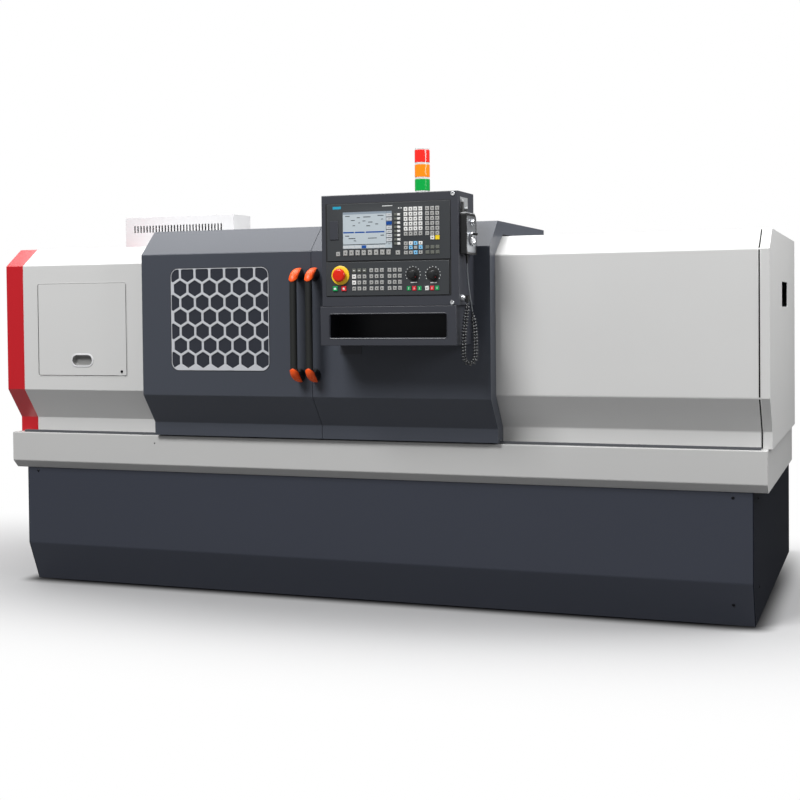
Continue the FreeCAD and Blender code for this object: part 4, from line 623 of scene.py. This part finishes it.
handle_z = (924.0, 1386.0)
bar_y = -748.0
foot_reach, foot_rise = 66.0, 42.0
foot_wide, foot_deep = 16.0, 12.5
charcoal = moulded("charcoal_coated_tube", "#222423", 0.45)
black_nylon = moulded("black_nylon", "#161718", 0.4)
orange_nylon = moulded("orange_nylon", "#ff5a0c", 0.42)
around = 32
bar_rings = 12
cap_rows, cap_columns = 26, 15
circle = np.linspace(0.0, 2.0 * np.pi, around + 1)[:-1]
sweep = np.linspace(0.0, np.pi / 2.0, 22)
middle_z = (handle_z[0] + handle_z[1]) / 2.0
start_z = handle_z[1] - foot_deep - 1.5 - foot_rise
for side, centre_x, body in (("left", -170.0, "left_door"), ("right", -102.0, "right_door")):
    rise = np.linspace(2.0 * middle_z - start_z, start_z, bar_rings)
    path = np.stack([np.full(bar_rings, centre_x), np.full(bar_rings, bar_y), rise], -1)
    shell = bent_bar(path, np.full(bar_rings, 15.0), np.full(bar_rings, 11.5),
                     np.broadcast_to(circle, (bar_rings, around)))
    made = mesh_piece(f"{side}_handle_tube", shell.reshape(-1, 3),
                      capped_faces(bar_rings, around), charcoal, 50.0)
    fitted(made, body, "handle_black", f"{side}_handle")
    for end, flip in (("top", 1.0), ("bottom", -1.0)):
        y = np.append(bar_y + foot_reach * (1.0 - np.cos(sweep)), door_front)
        z = start_z + foot_rise * np.sin(sweep)
        z = np.append(z, z[-1])
        share = np.linspace(0.0, 1.0, len(y)) ** 2
        flare = 1.2 * foot_deep * share
        z = middle_z + flip * (z - flare - middle_z)
        path = np.stack([np.full(len(y), centre_x), y, z], -1)
        shell = bent_bar(path, foot_wide * (1.0 + 0.15 * share), foot_deep + flare,
                         np.broadcast_to(circle, (len(y), around)))
        made = mesh_piece(f"{side}_handle_{end}_foot", shell.reshape(-1, 3),
                          capped_faces(len(y), around), black_nylon, 50.0)
        fitted(made, body, "handle_black")
        u = np.linspace(0.0, 1.0, cap_rows)
        onset = np.arcsin(np.sqrt(1.0 - (1.0 - np.minimum(u, 0.26) / 0.26) ** 2))
        spread = onset * np.interp(u, [0.0, 0.26, 0.6, 1.0], [1.08, 1.08, 0.78, 0.06])
        angle = u * 1.60 - 0.04
        cap_y = np.where(angle < 0.0, bar_y, bar_y + foot_reach * (1.0 - np.cos(angle)))
        cap_z = start_z + np.where(angle < 0.0, angle * 60.0, foot_rise * np.sin(angle))
        cap_z = middle_z + flip * (cap_z - middle_z)
        path = np.stack([np.full(cap_rows, centre_x), cap_y, cap_z], -1)
        v = np.linspace(-1.0, 1.0, cap_columns)
        lean = flip * (np.pi / 2.0 - 0.4 * u)
        fan = lean[:, None] + spread[:, None] * v[None, :]
        layers = [bent_bar(path, np.full(cap_rows, foot_wide + lift),
                           np.full(cap_rows, foot_deep + lift), fan) for lift in (0.2, 2.0)]
        points = np.concatenate([layer.reshape(-1, 3) for layer in layers])
        count = cap_rows * cap_columns
        skin = np.array(grid_faces(cap_rows, cap_columns, wrap=False))
        rim = np.concatenate([np.arange(cap_columns), np.arange(2, cap_rows) * cap_columns - 1,
                              np.arange(count - 1, count - 1 - cap_columns, -1),
                              np.arange(cap_rows - 2, 0, -1) * cap_columns])
        after = np.roll(rim, -1)
        edge = np.stack([rim, after, after + count, rim + count], -1)
        faces = skin.tolist() + (skin + count).tolist() + edge.tolist()
        made = mesh_piece(f"{side}_handle_{end}_cap", points, faces, orange_nylon, 60.0)
        fitted(made, body, "lens_orange")

# ---- Control box -----------------------------------------------------------------------------
# Folded anthracite housing on the right door with two satin panel plates in its face, two
# bright fixing screws at its right corners and a hinged flap over the data sockets.


def blocks(name, rows, back, front, chamfer, material):
    """Small keys or marks: for each row a block x, z, half width, half height in mm, made of
    three rings of four corners at back, front + chamfer and front, the last drawn in by
    chamfer: corner = (x + a (w - c), ring depth, z + b (h - c)) with a, b = -1 or 1."""
    rows = np.array(rows, float)
    a = np.array([-1.0, 1.0, 1.0, -1.0])
    b = np.array([-1.0, -1.0, 1.0, 1.0])
    inset = np.array([0.0, 0.0, chamfer])
    depth = np.array([back, front + chamfer, front])
    x = rows[:, 0, None, None] + a * (rows[:, 2, None, None] - inset[None, :, None])
    z = rows[:, 1, None, None] + b * (rows[:, 3, None, None] - inset[None, :, None])
    points = np.stack([x, np.broadcast_to(depth[None, :, None], x.shape), z], -1)
    one = np.array([*grid_faces(3, 4), [0, 1, 2, 3], [8, 9, 10, 11]])
    faces = (np.arange(len(rows))[:, None, None] * 12 + one[None]).reshape(-1, 4)
    return mesh_piece(name, points.reshape(-1, 3), faces.tolist(), material, 30.0)


def key_rows(columns, rows, half_wide, half_high):
    """Block rows for every crossing of the columns (x) and rows (z), in mm."""
    return [(x, z, half_wide, half_high) for x in columns for z in rows]


box_coat = powder_coat("box_anthracite_powder_coat", "#393b42", 0.38)
panel_coat = moulded("satin_panel_plate", "#36393c", 0.42, grain=0.7, bump=0.1)
key_grey = moulded("grey_key_plastic", "#a7a7a5", 0.5, grain=0.5)
key_pale = moulded("pale_key_plastic", "#e4e4e2", 0.5, grain=0.5)
key_dim = moulded("dim_key_plastic", "#63665f", 0.5, grain=0.5)
key_blue = moulded("light_blue_key_plastic", "#7fc0ea", 0.5, grain=0.5)
key_green = moulded("green_key_plastic", "#0f9a55", 0.4, grain=0.5)
key_red = moulded("red_key_plastic", "#d8242f", 0.4, grain=0.5)
key_yellow = moulded("yellow_key_plastic", "#f3d21f", 0.4, grain=0.5)
mark_dark = moulded("dark_printed_mark", "#43453f", 0.5, grain=0.5)
mark_white = moulded("white_printed_mark", "#e9ebea", 0.5, grain=0.5)
bright_screw = metal("bright_zinc_screw_steel", "#eceef0", 0.42, line=0.4)
panel_y = -874.0
button_middle = (279.0, 1332.5)
eased("control_box", "control_box_sheet", "right_door", "box_paint", box_coat, 3.0,
      pick=lambda x, y, z: 0.0 < x < 575.0 and y < -700.0)
eased("display_panel", "display_panel_plate", "right_door", "panel_grey", panel_coat, 1.4,
      pick=lambda x, y, z: y < panel_y + 0.1)
eased("button_panel", "button_panel_plate", "right_door", "panel_grey", panel_coat, 1.4,
      pick=lambda x, y, z: y < panel_y + 0.1 and abs(x - button_middle[0]) > 248.0
      or y < panel_y + 0.1 and abs(z - button_middle[1]) > 64.0)
corner_screw = [(-1.0, 0.0), (-1.0, 8.0), (2.4, 8.0), (3.4, 7.0), (3.4, 4.4), (1.0, 4.0),
                (0.6, 0.0)]
for label, x, z in (("top", 544.0, 1644.0), ("low", 538.0, 1238.0)):
    made = turned("box_screw_" + label, corner_screw, (x, -870.0, z), (0.0, -1.0, 0.0),
                  bright_screw, steps=24)
    fitted(made, "right_door", "zinc_steel")
# Painted shade: a near-black plate behind both panel plates darkens the gaps round and between
# them, where the box front would show lit.
panel_gap_shade_black = moulded("panel_gap_painted_shade_black", "#08090a", 0.6)
gasket = blocks("panel_gap_painted_shade", [(281.5, 1443.5, 253.5, 178.5)], -869.0, -870.9, 0.3,
                panel_gap_shade_black)
fitted(gasket, "right_door", "belt_rubber")
flap = blocks("socket_flap", [(65.0, 1520.0, 17.0, 36.0)], panel_y + 0.5, panel_y - 3.0, 1.0,
              box_coat)
fitted(flap, "right_door", "panel_grey")
flap_seam = blocks("socket_flap_seam", [(65.0, 1519.0, 18.6, 37.6)], panel_y + 0.3,
                   panel_y - 0.3, 0.1, gasket_rubber)
fitted(flap_seam, "right_door", "belt_rubber")

# ---- Screen ----------------------------------------------------------------------------------
# Glass-fronted display in the panel's recess: a pale working field with a dark bar over it, a
# mid-blue band, soft-key labels down the right and along the bottom, and a few plain readings.


def lit(name, hex_colour, glow=0.04):
    """A lit patch of the display: a smooth coloured film that gives off a little light."""
    return moulded(name, hex_colour, 0.25, grain=3.0, bump=0.02, glow=glow)


screen_y = -872.5
field_lit = lit("display_pale_field", "#b9c3c9")
bar_lit = lit("display_grey_bar", "#8d99a5")
blue_lit = lit("display_blue_band", "#1c4f9c")
label_lit = lit("display_soft_key_label", "#c8cccf")
ink_lit = lit("display_dark_reading", "#20252d", glow=0.0)
eased("screen", "display_glass", "right_door", "screen_lcd", field_lit, 0.3, least=1.0)
label_z = np.linspace(1573.0, 1463.0, 8)
label_x = np.linspace(111.0, 288.0, 8)
label_middle = 290.3
foot_z = 1454.5
split_x = 278.5
screen_layers = [
    ("display_bars", bar_lit, [(189.0, 1583.5, 88.0, 4.5), (label_middle, 1583.5, 11.4, 4.5)]),
    ("display_bands", blue_lit, [(124.0, 1510.0, 22.0, 2.6), (170.0, 1510.0, 20.0, 2.6),
                                 (233.0, 1510.0, 38.0, 2.6), (label_middle, label_z[2], 11.2, 6.0),
                                 (label_x[3], foot_z, 9.5, 5.5)]),
    ("display_labels", label_lit,
     [(label_middle, z, 11.2, 5.6) for z in label_z[[0, 1, 3, 4, 5, 6]]]
     + [(x, foot_z, 11.2, 4.6) for x in label_x[[0, 1, 2, 4, 5, 6]]]),
    ("display_readings", ink_lit,
     [(split_x, 1525.0, 0.5, 62.0), (188.0, 1463.5, 87.0, 1.2)]
     + [(x, z, w, 1.3) for x, z, w in (
         (120.0, 1572.0, 9.0), (165.0, 1566.0, 6.0), (200.0, 1568.0, 15.0),
         (256.0, 1572.0, 12.0), (142.0, 1556.0, 8.0), (168.0, 1546.0, 4.0),
         (188.0, 1553.0, 6.0), (214.0, 1548.0, 9.0), (240.0, 1540.0, 6.0),
         (146.0, 1536.0, 5.0), (205.0, 1534.0, 8.0), (262.0, 1558.0, 4.0),
         (118.0, 1497.0, 8.0), (138.0, 1487.0, 14.0), (222.0, 1487.0, 18.0),
         (150.0, 1478.0, 5.0), (262.0, 1497.0, 7.0))]
     + [(label_middle, z - 7.9, 11.2, 1.2) for z in label_z[:-1]]
     + [(label_middle, z, 6.0, 0.7) for z in label_z]),
]
for step, (name, material, rows) in enumerate(screen_layers):
    front = screen_y - 0.15 - 0.1 * step
    made = blocks(name, rows, screen_y + 0.5, front, 0.02, material)
    fitted(made, "right_door", "screen_lcd")

# ---- Panel keys ------------------------------------------------------------------------------
# Moulded key caps in the plates: a keypad, cursor keys and soft keys beside the screen, three
# blocks of machine keys and a coloured row below, each with a small printed mark.
pad_x = (358.0, 378.0, 397.0, 417.0)
side_x = (444.0, 464.0, 484.0)
pad_z = np.linspace(1592.0, 1499.0, 6)
cursor_z = (1463.0, 1447.0, 1428.0)
group_x = ((146.0, 167.5, 189.0), (217.0, 238.5, 260.0), (291.0, 312.0, 333.0))
group_z = np.linspace(1364.0, 1295.0, 4)
cap = 7.6
low_cap = 7.4
pale_keys = key_rows(pad_x, pad_z[:5], cap, cap) + [(464.0, 1482.0, cap, cap),
                                                    (146.0, group_z[1], 8.2, 8.2),
                                                    (146.0, group_z[2], 8.2, 8.2)]
pale_keys += [(x, 1463.0, cap, 6.8) for x in (378.0, 417.0)] + [(441.0, 1293.0, 7.6, 8.2)]
grey_keys = key_rows(pad_x, pad_z[5:], cap, cap) + key_rows(side_x, pad_z, cap, cap)
grey_keys += key_rows(label_x, (1432.0,), 8.6, 10.0) + [(81.0, 1429.0, 8.0, 8.0),
                                                       (326.0, 1429.0, 9.0, 8.0)]
grey_keys += [(x, z, low_cap, low_cap) for k, xs in enumerate(group_x) for x in xs
              for j, z in enumerate(group_z) if not (k == 0 and (j == 0 or x == 146.0 and j < 3))]
grey_keys += [(358.0, z, cap, 6.8) for z in cursor_z]
grey_keys += [(x, 1428.0, cap, 6.8) for x in (378.0, 417.0)]
dim_keys = key_rows(side_x, cursor_z[1:], cap, 6.8) + key_rows(group_x[0], group_z[:1], 7.4, 7.4)
dim_keys += [(318.0, z, 6.5, 4.6) for z in label_z]
blue_keys = [(x, z, cap, 7.2) for x, z in ((397.0, 1463.0), (378.0, 1447.0), (417.0, 1447.0),
                                           (397.0, 1428.0))]
soft_tips = [(330.0, z, 6.0, 4.6) for z in label_z]
row_z = 1293.0
coloured = [
    ("pale_keys", key_pale, pale_keys + soft_tips),
    ("grey_keys", key_grey, [*grey_keys, (397.0, 1447.0, 6.6, 6.0)]),
    ("dim_keys", key_dim, dim_keys),
    ("blue_keys", key_blue, blue_keys),
    ("green_keys", key_green, [(x, row_z, 7.6, 8.4) for x in (368.0, 411.0, 481.0)]),
    ("red_keys", key_red, [(x, row_z, 7.6, 8.4) for x in (390.0, 461.0)]),
    ("yellow_key", key_yellow, [(484.0, 1482.0, 8.0, 8.0)]),
]
key_front = panel_y - 2.6
for name, material, rows in coloured:
    fitted(blocks(name, rows, panel_y + 0.6, key_front, 1.1, material), "right_door",
           "panel_grey")
marked = [(x, z, 2.3, 2.3) for x, z, *_ in pale_keys + grey_keys + blue_keys]
fitted(blocks("key_marks", marked, key_front + 0.5, key_front - 0.15, 0.05, mark_dark),
       "right_door", "panel_grey")
white_marks = [(x, row_z, 1.0, 4.4) for x in (368.0, 390.0, 411.0, 461.0, 481.0)]
white_marks += [(x, z, 4.0, 1.0) for x in group_x[0] for z in group_z[:1]]
fitted(blocks("white_key_marks", white_marks, key_front + 0.5, key_front - 0.15, 0.05,
              mark_white), "right_door", "panel_grey")
badge_blue = moulded("teal_badge_print", "#1f9dbe", 0.4)
fitted(blocks("plain_badge", [(77.0, 1605.5, 17.0, 5.0)], panel_y + 0.3, panel_y - 0.5, 0.2,
              badge_blue), "right_door", "panel_grey")
panel_marks = [(284.0, 1607.0, 21.0, 1.3), (330.0, 1597.5, 2.2, 2.2), (340.0, 1597.5, 2.2, 2.2)]
spindle_knob, feed_knob = (385.0, 1346.0), (464.0, 1344.0)
panel_marks += [(x + 3.0, z - 31.0, 13.0, 1.4) for x, z in (spindle_knob, feed_knob)]
fitted(blocks("panel_marks", panel_marks, panel_y + 0.3, panel_y - 0.2, 0.05, mark_white),
       "right_door", "panel_grey")

# ---- Push buttons and knobs ------------------------------------------------------------------
# Red mushroom button on a yellow disc, a green and a red square key below it, and two fluted
# override knobs with printed dials. Each one moves on its own stem.
estop = (89.0, 1347.0)
estop_red = moulded("red_button_plastic", "#e0240a", 0.3, coat=0.2)
estop_disc_yellow = moulded("yellow_disc_plastic", "#f7cf2a", 0.35)
disc = [(-0.5, 0.0), (-0.5, 36.0), (1.0, 37.0), (2.6, 36.4), (3.6, 34.0), (3.6, 14.0),
        (1.0, 12.4), (1.0, 0.0)]
fitted(turned("emergency_stop_disc", disc, (estop[0], panel_y, estop[1]), (0.0, -1.0, 0.0),
              estop_disc_yellow), "right_door", "panel_grey")
mushroom = [(-20.0, 0.0), (-20.0, 10.4), (-16.0, 11.0), (8.6, 11.0), (10.0, 12.5),
            (10.0, 22.6), (11.2, 24.8), (13.4, 25.5), (19.0, 25.3), (22.0, 23.8),
            (24.3, 20.6), (25.3, 17.2), (25.0, 14.0), (25.6, 8.0), (26.0, 0.0)]
made = turned("emergency_stop_button", mushroom, (estop[0], panel_y, estop[1]),
              (0.0, -1.0, 0.0), estop_red)
fitted(made, "emergency_stop", "red_plastic", "emergency_stop")
for label, x, material, mark in (("start", 68.0, key_green, (4.6, 3.4)),
                                 ("stop", 104.0, key_red, (3.6, 3.6))):
    body = label + "_button"
    made = blocks(body + "_cap", [(x, 1296.0, 9.5, 9.5)], -868.0, panel_y - 5.0, 1.2, material)
    fitted(made, body, "green_plastic" if label == "start" else "red_plastic", body)
    made = blocks(body + "_mark", [(x, 1296.0, *mark)], panel_y - 4.5, panel_y - 5.2, 0.05,
                  mark_white)
    fitted(made, body, "panel_grey")
knob_black = moulded("black_knob_plastic", "#202223", 0.32, coat=0.15)
dial_black = moulded("black_dial_print", "#141516", 0.45)
skirt = [(0.4, 0.0), (0.4, 16.0), (1.0, 17.0), (4.0, 17.0), (5.2, 15.6), (6.0, 13.9),
         (19.6, 13.2), (21.4, 12.2), (22.0, 10.4), (22.0, 0.0)]
for label, x, z in (("spindle", *spindle_knob), ("feed", *feed_knob)):
    body = label + "_override_knob"
    spot = (x, panel_y, z)
    made = turned(body + "_cap", skirt, spot, (0.0, -1.0, 0.0), knob_black, 72, (18, 0.05))
    fitted(made, body, "knob_black", body)
    dial = [(-0.3, 0.0), (-0.3, 26.0), (0.15, 26.0), (0.25, 25.5), (0.25, 0.0)]
    made = turned(body + "_dial", dial, spot, (0.0, -1.0, 0.0), dial_black)
    fitted(made, "right_door", "panel_grey")
    turn = np.radians(np.linspace(-210.0, 30.0, 11))
    ticks = [(x - 29.5 * np.cos(a), z - 29.5 * np.sin(a), 1.4, 1.4) for a in turn]
    made = blocks(body + "_ticks", ticks, panel_y + 0.3, panel_y - 0.2, 0.05, mark_white)
    fitted(made, "right_door", "panel_grey")
    line = [(x + 11.0, z - 10.5, 1.6, 1.6)]
    made = blocks(body + "_pointer", line, panel_y - 3.0, panel_y - 5.6, 0.05, key_red)
    fitted(made, body, "red_plastic")

# ---- Pocket ----------------------------------------------------------------------------------
# Open-fronted sheet pocket under the box; its mouth is folded back to a rounded rim.
eased("pocket_tray", "pocket_sheet", "right_door", "box_paint", box_coat, 2.0,
      pick=lambda x, y, z: y < -860.0)
pocket_rim = [(0.6, -0.6), (2.4, -1.4), (4.0, -0.4), (4.0, 0.4), (-0.4, 0.6), (-1.4, 3.0),
              (-1.4, 8.0), (-0.2, 8.0), (-0.2, 1.4)]
fitted(hoop("pocket_mouth_rim", (277.5, -870.0, 1151.5), rounded_outline(238.5, 45.5, 8.0, 6),
            pocket_rim, box_coat), "right_door", "box_paint")

# ---- Signal tower ----------------------------------------------------------------------------
# Stack of three moulded lenses, red over orange over green, with white rings between them and
# a pale cap, screwed to the top of the control box. The lenses are unlit but glow faintly:
# painted light.
tower = (390.0, -770.0)
tower_white = moulded("white_ring_plastic", "#dfe1e0", 0.35)
lenses = [("green", 1667.0, 1711.0, "#00a040"), ("orange", 1719.0, 1767.0, "#ff8a10"),
          ("red", 1775.0, 1823.0, "#ee2a22")]
for label, low_z, high_z, hex_colour in lenses:
    # Painted light: the unlit lenses give off a faint glow of their own colour.
    lens_painted_glow = moulded(f"{label}_lens_painted_glow_plastic", hex_colour, 0.12, grain=6.0, bump=0.05,
                     glow=0.25, coat=0.4)
    tall = high_z - low_z
    barrel = [(0.0, 0.0), (0.0, 27.6), (1.4, 29.0), (tall - 1.4, 29.0), (tall, 27.6),
              (tall, 0.0)]
    made = turned(f"{label}_lens_barrel", barrel, (*tower, low_z), (0.0, 0.0, 1.0), lens_painted_glow,
                  72, (24, 0.012))
    fitted(made, "right_door", "lens_" + label, label + "_lens")
rings = [("base", 1655.0, 1667.0, 1.0, ["tower_fittings"]), ("low_ring", 1711.0, 1719.0, 1.0, []),
         ("high_ring", 1767.0, 1775.0, 1.0, []), ("cap", 1823.0, 1832.0, 3.0, [])]
for label, low_z, high_z, ease, stands_for in rings:
    tall = high_z - low_z
    ring = [(0.0, 0.0), (0.0, 28.0), (tall - ease, 28.0), (tall - ease * 0.3, 28.0 - ease * 0.7),
            (tall, 28.0 - ease * 1.6), (tall, 0.0)]
    made = turned("tower_" + label, ring, (*tower, low_z), (0.0, 0.0, 1.0), tower_white)
    fitted(made, "right_door", "tower_white", *stands_for)

# ---- Hand pendant ----------------------------------------------------------------------------
# Black moulded housing hooked on the side of the box, with a brushed face plate, a chromed
# pulse handwheel and axis selector, and a steel hanger with two black pegs.
black_case = moulded("black_pendant_plastic", "#141516", 0.4)
chrome = metal("bright_chrome", "#dfe1e4", 0.12, line=0.3, bump=0.02)
brushed = metal("brushed_aluminium", "#b6b9bd", 0.32, axis=2)
eased("pendant_body", "pendant_housing", "right_door", "handle_black", black_case, 2.0,
      least=1.5)


def side_plate(name, centre, half_y, half_z, corner, low_x, high_x, material):
    """Flat plate with rounded corners and a chamfer: outline rings at low_x and high_x."""
    points, normals = rounded_outline(half_y, half_z, corner, 8)
    rows = np.array([(0.0, low_x), (0.0, high_x - 0.4), (-0.4, high_x)])
    flat = points[None] + rows[:, 0, None, None] * normals[None]
    depth = np.broadcast_to(rows[:, 1, None], flat.shape[:2])
    places = np.stack([depth, flat[..., 0], flat[..., 1]], -1) + np.array(centre, float)
    return mesh_piece(name, places.reshape(-1, 3), capped_faces(3, len(points)), material, 30.0)


fitted(side_plate("pendant_face_plate", (592.0, -794.0, 1494.0), 54.0, 68.0, 10.0, -0.4, 0.25,
                  brushed), "right_door", "chrome")
wheel = [(0.5, 0.0), (0.5, 25.0), (1.6, 27.0), (7.6, 27.0), (9.6, 25.6), (10.0, 24.0),
         (8.6, 21.0), (4.6, 18.0), (4.0, 12.0), (7.0, 9.0), (7.4, 0.0)]
grip = [(3.0, 0.0), (3.0, 4.2), (11.0, 4.2), (13.0, 5.0), (23.0, 5.0), (25.4, 3.8), (26.0, 0.0)]
wheel_spot = (592.0, -797.0, 1478.0)
fitted(turned("pendant_handwheel_rim", wheel, wheel_spot, (1.0, 0.0, 0.0), chrome),
       "pendant_handwheel", "chrome", "pendant_handwheel")
fitted(turned("pendant_handwheel_grip", grip, (592.0, -797.0, 1494.2), (1.0, 0.0, 0.0),
              black_case, steps=24), "pendant_handwheel", "handle_black")
dome = [(0.5, 0.0), (0.5, 12.4), (1.2, 13.0), (4.0, 13.0), (5.0, 11.0), (11.6, 10.4),
        (13.0, 8.6), (13.3, 0.0)]
fitted(turned("pendant_selector_knob", dome, (592.0, -797.0, 1540.0), (1.0, 0.0, 0.0), chrome,
              72, (12, 0.08)), "pendant_selector", "chrome", "pendant_selector")
fitted(turned("pendant_top_washer", [(-0.2, 0.0), (-0.2, 14.6), (0.45, 14.6), (0.45, 0.0)],
              (592.0, -797.0, 1540.0), (1.0, 0.0, 0.0), black_case),
       "right_door", "handle_black")
eased("pendant_fittings", "pendant_hanger_and_gland", "right_door", "zinc_steel", bright_screw,
      0.8, least=1.2, steps=2,
      second=(black_case, lambda p, n: p.z < 1300.0 and p.x > 579.5))
peg = [(-0.5, 0.0), (-0.5, 6.4), (2.0, 6.8), (4.0, 6.2)]
for label, y, top in (("tall", -848.0, 1621.0), ("short", -802.0, 1597.0)):
    rise = top - 1574.0
    sleeve = [*peg, (rise - 9.0, 6.0), (rise - 7.0, 5.2), (rise - 7.0, 0.0)]
    made = turned(f"{label}_peg_sleeve", sleeve, (574.0, y, 1574.0), (0.0, 0.0, 1.0),
                  black_case, steps=24)
    fitted(made, "right_door", "handle_black")

# ---- Pendant cord ----------------------------------------------------------------------------
# One moulded cable: a straight tail down from the pendant, then a coiled stretch that hangs in
# a loop and climbs back to the gland in the side of the box. The tail takes a grey copy of the
# black jacket, painted light where it catches the lamps.


def route_points(points, order, samples):
    """Points along a clamped NURBS curve through the given route, evenly spaced in length."""
    curve = bpy.data.curves.new("cord_route", "CURVE")
    curve.dimensions = "3D"
    curve.resolution_u = samples
    spline = curve.splines.new("NURBS")
    spline.points.add(len(points) - 1)
    spline.points.foreach_set(
        "co", np.column_stack([points, np.ones(len(points))]).ravel())
    spline.order_u = order
    spline.use_endpoint_u = True
    holder = bpy.data.objects.new("cord_route", curve)
    mesh = bpy.data.meshes.new_from_object(holder)
    line = np.empty(len(mesh.vertices) * 3)
    mesh.vertices.foreach_get("co", line)
    bpy.data.objects.remove(holder)
    bpy.data.curves.remove(curve)
    bpy.data.meshes.remove(mesh)
    line = line.reshape(-1, 3)
    run = np.append(0.0, np.cumsum(np.linalg.norm(np.diff(line, axis=0), axis=1)))
    even = np.linspace(0.0, run[-1], int(run[-1] / 0.001) + 1)
    return np.stack([np.interp(even, run, line[:, k]) for k in range(3)], -1)


def carried_frame(line):
    """A side direction carried along a line without twist, with its partner: s - t (s . t)."""
    run = np.gradient(line, axis=0)
    run /= np.linalg.norm(run, axis=1)[:, None]
    sides = [np.cross(run[0], (0.0, 1.0, 0.0))]
    for way in run:
        side = sides[-1] - way * np.dot(sides[-1], way)
        sides.append(side / np.linalg.norm(side))
    side = np.array(sides[1:])
    return run, side, np.cross(run, side)


def tube(name, line, radius, material, around):
    """Round tube on a line of points in metres: p + r (cos a s + sin a b), domed at its ends."""
    run, side, other = carried_frame(line)
    angle = np.linspace(0.0, 2.0 * np.pi, around, endpoint=False)
    ring = np.cos(angle)[:, None] * side[:, None] + np.sin(angle)[:, None] * other[:, None]
    size = np.broadcast_to(np.asarray(radius, float), len(line))
    rings = line[:, None] + size[:, None, None] * ring
    lead = line[:1, None] - 0.4 * size[0] * run[:1, None] + 0.6 * size[0] * ring[:1]
    trail = line[-1:, None] + 0.4 * size[-1] * run[-1:, None] + 0.6 * size[-1] * ring[-1:]
    rings = np.concatenate([lead, rings, trail]) / MM
    return mesh_piece(name, rings.reshape(-1, 3), capped_faces(len(rings), around), material,
                      60.0)


tail_route = np.array([
    (580.0, -815.0, 1418.0), (580.0, -815.0, 1364.0), (584.0, -815.0, 1308.0),
    (592.0, -815.0, 1250.0), (600.0, -815.0, 1197.0),
]) * MM
curly_route = np.array([
    (600.0, -815.0, 1197.0), (606.5, -815.0, 1154.0), (610.5, -816.5, 1112.0),
    (612.0, -819.0, 1072.0), (611.5, -821.0, 1044.0), (610.0, -823.0, 1021.5),
    (598.5, -826.5, 1009.0), (582.5, -830.5, 1009.0), (571.5, -834.0, 1021.0),
    (569.5, -836.5, 1044.0), (571.0, -839.0, 1076.0), (574.0, -841.0, 1116.0),
    (579.0, -842.0, 1158.0), (584.0, -842.0, 1199.0), (588.0, -842.0, 1219.0),
    (588.0, -842.0, 1240.0),
]) * MM
cord_radius = 3.0 * MM
cord_sides = 8
tail_stride = 6
coil_radius = 8.6 * MM
coil_pitch = 11.5 * MM
cord_plastic = moulded("glossy_black_cord_jacket", "#1d1f22", 0.2, coat=1.0)
# Painted light: the straight tail takes this grey copy of the black jacket, drawn as if strongly
# lit.
tail_painted_light_jacket = moulded("cord_jacket_painted_light", "#5d6165", 0.35)
tail_line = route_points(tail_route, 3, 24)
coil_line = route_points(curly_route, 3, 24)
run, side, other = carried_frame(coil_line)
step = np.linalg.norm(coil_line[1] - coil_line[0])
bend = np.linalg.norm(np.gradient(run, step, axis=0), axis=1)
bend = np.convolve(np.pad(bend, 12, mode="edge"), np.ones(25) / 25.0, mode="valid")
open_up = 6.6 * MM / np.clip(1.0 - 1.12 * bend * coil_radius, 0.2, 1.0)
turned_so_far = np.cumsum(step / np.maximum(coil_pitch, open_up))
turns = round(turned_so_far[-1])
wound = np.append(0.0, turned_so_far[:-1]) / turned_so_far[-2] * turns
parameter = np.linspace(0.0, turns, turns * 14)
fine = np.interp(parameter, wound, np.arange(len(coil_line)))
centre, side, other = (
    np.stack([np.interp(fine, np.arange(len(coil_line)), a[:, k]) for k in range(3)], -1)
    for a in (coil_line, side, other)
)
share = fine / fine[-1]
lift = coil_radius * np.clip(np.minimum(share, 1.0 - share) * 22.0, 0.0, 1.0)
angle = 2.0 * np.pi * parameter
coil = (centre + (lift * np.cos(angle))[:, None] * side
        + (lift * np.sin(angle))[:, None] * other)
line = np.concatenate([tail_line[:-1:tail_stride], coil])
cord = tube("pendant_cord", line, cord_radius, cord_plastic, cord_sides)
cord.data.materials.append(tail_painted_light_jacket)
ring_index = np.arange(len(cord.data.polygons)) // cord_sides
on_tail = ring_index < len(tail_line) // tail_stride
cord.data.polygons.foreach_set("material_index", on_tail.astype(np.int32))
fitted(cord, "right_door", "cord_black", "pendant_cord_tail", "pendant_curly_cord")
relief = [(-2.0, 0.0), (-2.0, 5.4), (4.0, 5.6), (14.0, 4.6), (30.0, 3.6), (34.0, 3.2),
          (34.0, 0.0)]
fitted(turned("pendant_strain_relief", relief, (580.0, -815.0, 1418.0), (0.0, 0.0, -1.0),
              black_case, steps=24), "right_door", "handle_black")
